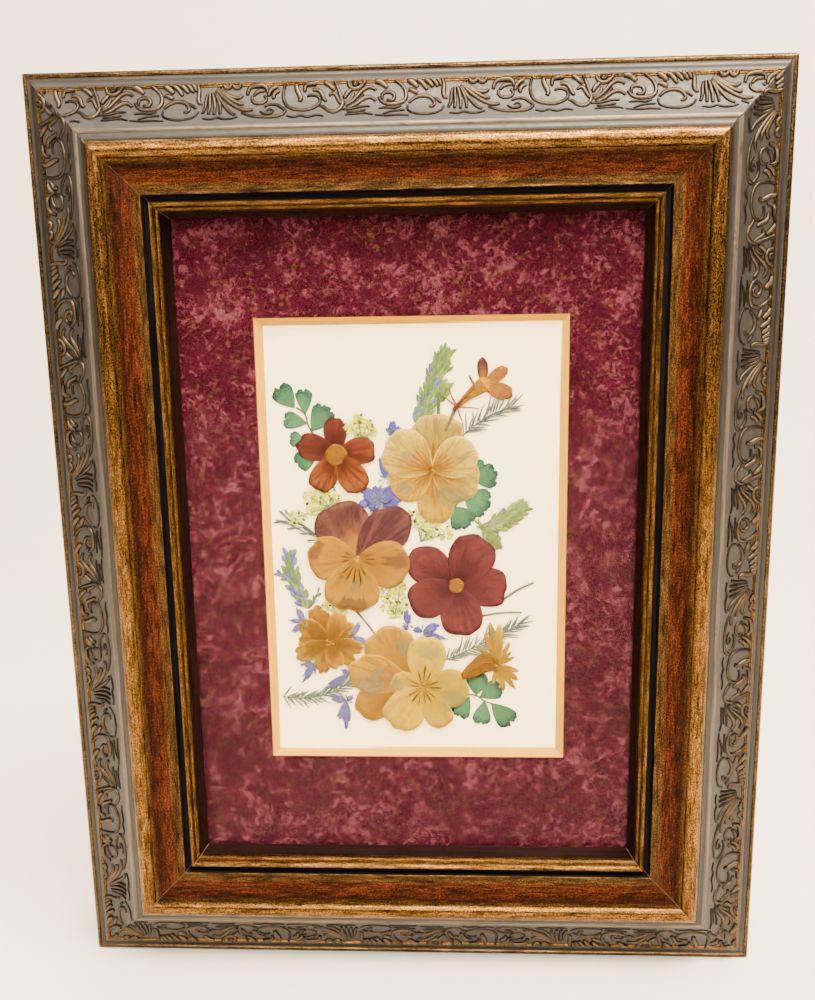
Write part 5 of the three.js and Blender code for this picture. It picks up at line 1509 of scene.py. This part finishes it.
class FRAME_OT_blue_florets(bpy.types.Operator):
    """Lays the ten violet-blue florets with their green cups"""

    bl_idname = "pressed_frame.blue_florets"
    bl_label = "Blue florets"

    def execute(self, context):
        draw = random.Random(31)
        cup_leaf = small_leaf("cup_leaf", leaf_outline(4, 0.8), 2, 0.06, 0.09)
        blue = petal_finish(
            "violet_blue", (0.1, (0.045, 0.05, 0.1)), (0.5, (0.056, 0.04, 0.21)), (0.95, (0.048, 0.035, 0.18)),
            vein=(0.03, 0.028, 0.1), rim=(0.025, 0.025, 0.08), veins=0.6, blotch=((0.13, 0.12, 0.26), 0.7))
        pale = petal_finish(
            "pale_violet", (0.1, (0.06, 0.07, 0.09)), (0.5, (0.08, 0.07, 0.2)), (0.95, (0.075, 0.065, 0.19)),
            vein=(0.06, 0.06, 0.1), rim=(0.05, 0.05, 0.1), veins=0.6, blotch=((0.07, 0.07, 0.15), 0.6))
        cup = sprout_finish("green_cup", (0.06, 0.08, 0.04), (0.09, 0.12, 0.05), (0.04, 0.06, 0.03))
        for number, ((x, y), *petals) in enumerate(BLUE_FLORETS, 1):
            node = f"blue_floret_{number}"
            _, front = depths(node)
            floret = Surface()
            for i, (degrees, length, width) in enumerate(petals):
                outline = petal_outline(length, width, 0, 0.5, 3 * number + i, 20, 0.45)
                floret.patch((x, y), turned(outline, (x, y), degrees), front - 0.02 * i, 5, draw.random(), 0.1)
                if number == 2:  # the full one has a second, shorter row of petals
                    outline = petal_outline(length * 0.66, width * 0.7, 0, 0.5, i, 16, 0.5)
                    floret.patch((x, y), turned(outline, (x, y), degrees + 24), front + 0.06, 4, draw.random(), 0.1)
            hand_in(floret.piece(node, [blue if number < 6 else pale], thickness=PRESSED), "blue_petal", node)
            radius, count = (1.5, 16) if number == 2 else (0.8, 7)
            spots = scattered(x, y, radius, count, front + 0.04, 1.1, draw, 0.4)
            sprouts(f"{node}_cup", cup_leaf, spots, cup, "blue_petal")
        bpy.data.objects.remove(cup_leaf)
        return {"FINISHED"}


class FRAME_OT_stems(bpy.types.Operator):
    """Lays the bare stems"""

    bl_idname = "pressed_frame.stems"
    bl_label = "Bare stems"

    def execute(self, context):
        dark = stem_finish("dark_stem", (0.03, 0.03, 0.025), (0.1, 0.1, 0.075))
        for node, lines, width in (
            ("stems_left", (((-20, 17.2), (-18.9, 14.6), (-17.6, 11)),
                            ((-17.6, 11), (-19.8, 12.6), (-21.2, 15.4))), 0.4),
            ("stem_right", (((22.4, -14.3), (26.6, -11.4), (30.8, -9.4)),), 0.6),
            ("stem_lower_right", (((17.6, -18.2), (22.6, -17.4), (27.8, -17.3)),), 0.5),
            ("stem_centre", (((-15.6, -15.6), (-12.2, -19.6), (-9, -24.2)),), 0.5),
        ):
            _, front = depths(node)
            twig = Surface()
            for line in lines:
                stem(twig, line, width, front)
            hand_in(twig.piece(node, [dark], thickness=PRESSED), "dark_stem", node)
        return {"FINISHED"}


class FRAME_OT_stage(bpy.types.Operator):
    """Sets the pale floor and backdrop, the soft lamps and the camera"""

    bl_idname = "pressed_frame.stage"
    bl_label = "Stage"

    def execute(self, context):
        sweep = Surface()
        bend = 0.25  # metres; the radius of the curve from the floor up to the backdrop
        turns = [math.pi / 2 * i / 12 for i in range(13)]
        curve = [(0.35 + bend * math.sin(a), bend - bend * math.cos(a)) for a in turns]
        profile = [(-1.2, 0), *curve, (0.6, 1.6)]
        rows = [[(x, y, z - 0.05 * MM) for x in (-1.5, 1.5)] for y, z in profile]
        sweep.grid(rows, [[(0, 0, 0)] * 2] * len(rows))
        f = Finish("pale_stage", Roughness=0.85)
        cloth = f.noise(f.millimetres(), 0.02, 3, 0.5)
        f.set(Base_Color=f.shade((0.95, 0.88, 0.76), 0.98, 1.02, cloth))
        floor = sweep.piece("stage", [f.material], to=lambda x, y, z: Vector((x, y, z)))

        world = bpy.data.worlds.new("studio")
        context.scene.world = world
        world.use_nodes = True
        world.node_tree.nodes["Background"].inputs["Color"].default_value = (1.0, 0.94, 0.86, 1)
        world.node_tree.nodes["Background"].inputs["Strength"].default_value = 0.32

        middle = Vector((0, 0, HALF_HEIGHT * MM))
        for name, spot, aim, size, power, tint in (  # in metres; power is a share of the key light's
            ("key_lamp", (0.2, -0.34, 0.86), middle, (0.8, 0.28), 1.0, (1.0, 0.87, 0.7)),
            ("left_lamp", (-0.7, -0.5, 0.5), middle, (0.5, 0.5), 0.09, (1.0, 0.92, 0.8)),
            ("right_lamp", (0.8, -0.3, 0.4), middle, (0.4, 0.4), 0.028, (1.0, 0.9, 0.76)),
            ("backdrop_lamp", (0, 0.1, 1.3), Vector((0, 0.5, 0.2)), (1.6, 0.4), 0.45, (1.0, 0.92, 0.8)),
            ("highlight_card", (0.1, -0.85, 0.66), middle * 2, (1.0, 0.4), 0.6, (1.0, 0.85, 0.62)),
        ):
            lamp = bpy.data.lights.new(name, "AREA")
            lamp.shape = "RECTANGLE"
            lamp.size, lamp.size_y = size
            lamp.energy, lamp.color = power * settings().key_light, tint
            thing = bpy.data.objects.new(name, lamp)
            thing.location = spot
            thing.visible_diffuse = name != "highlight_card"  # it is only there for the metal to mirror
            thing.rotation_euler = (aim - thing.location).to_track_quat("-Z", "Y").to_euler()
            context.collection.objects.link(thing)

        data = bpy.data.cameras.new("camera")
        data.sensor_width, data.lens = 36, 37.3176  # millimetres
        data.clip_start, data.clip_end = 0.01, 20
        camera = bpy.data.objects.new("camera", data)
        forward = Vector((-0.0504, 0.9768, -0.2081)).normalized()
        up = Vector((0.0061, 0.2087, 0.9780))
        right = forward.cross(up).normalized()
        turn = Matrix((right, right.cross(forward), -forward)).transposed().to_4x4()
        turn.translation = place(12.26, 66.01, 251.30)
        camera.matrix_world = turn
        context.collection.objects.link(camera)
        context.scene.camera = camera
        return {"FINISHED"}


OPERATORS = (
    FRAME_OT_moulding,
    FRAME_OT_scrollwork,
    FRAME_OT_glazing,
    FRAME_OT_back,
    FRAME_OT_stems,
    FRAME_OT_ferns,
    FRAME_OT_sprigs,
    FRAME_OT_umbels,
    FRAME_OT_blue_florets,
    FRAME_OT_blooms,
    FRAME_OT_flowers,
    FRAME_OT_stage,
)


class FRAME_PT_sidebar(bpy.types.Panel):
    """Lists the pieces of the frame in the 3D view's sidebar"""

    bl_idname = "FRAME_PT_sidebar"
    bl_label = "Pressed flower frame"
    bl_space_type = "VIEW_3D"
    bl_region_type = "UI"
    bl_category = "Pressed flowers"

    def draw(self, context):
        keep = context.scene.pressed_frame
        for name in PressedFrameSettings.__annotations__:
            self.layout.prop(keep, name)
        for operator in OPERATORS:
            self.layout.operator(operator.bl_idname)


CLASSES = (PressedFrameSettings, *OPERATORS, FRAME_PT_sidebar)


def register():
    for each in CLASSES:
        bpy.utils.register_class(each)
    bpy.types.Scene.pressed_frame = PointerProperty(type=PressedFrameSettings)


def unregister():
    del bpy.types.Scene.pressed_frame
    for each in reversed(CLASSES):
        bpy.utils.unregister_class(each)


def main():
    register()
    for operator in OPERATORS:
        group, name = operator.bl_idname.split(".")
        getattr(getattr(bpy.ops, group), name)()


if __name__ == "__main__":
    main()
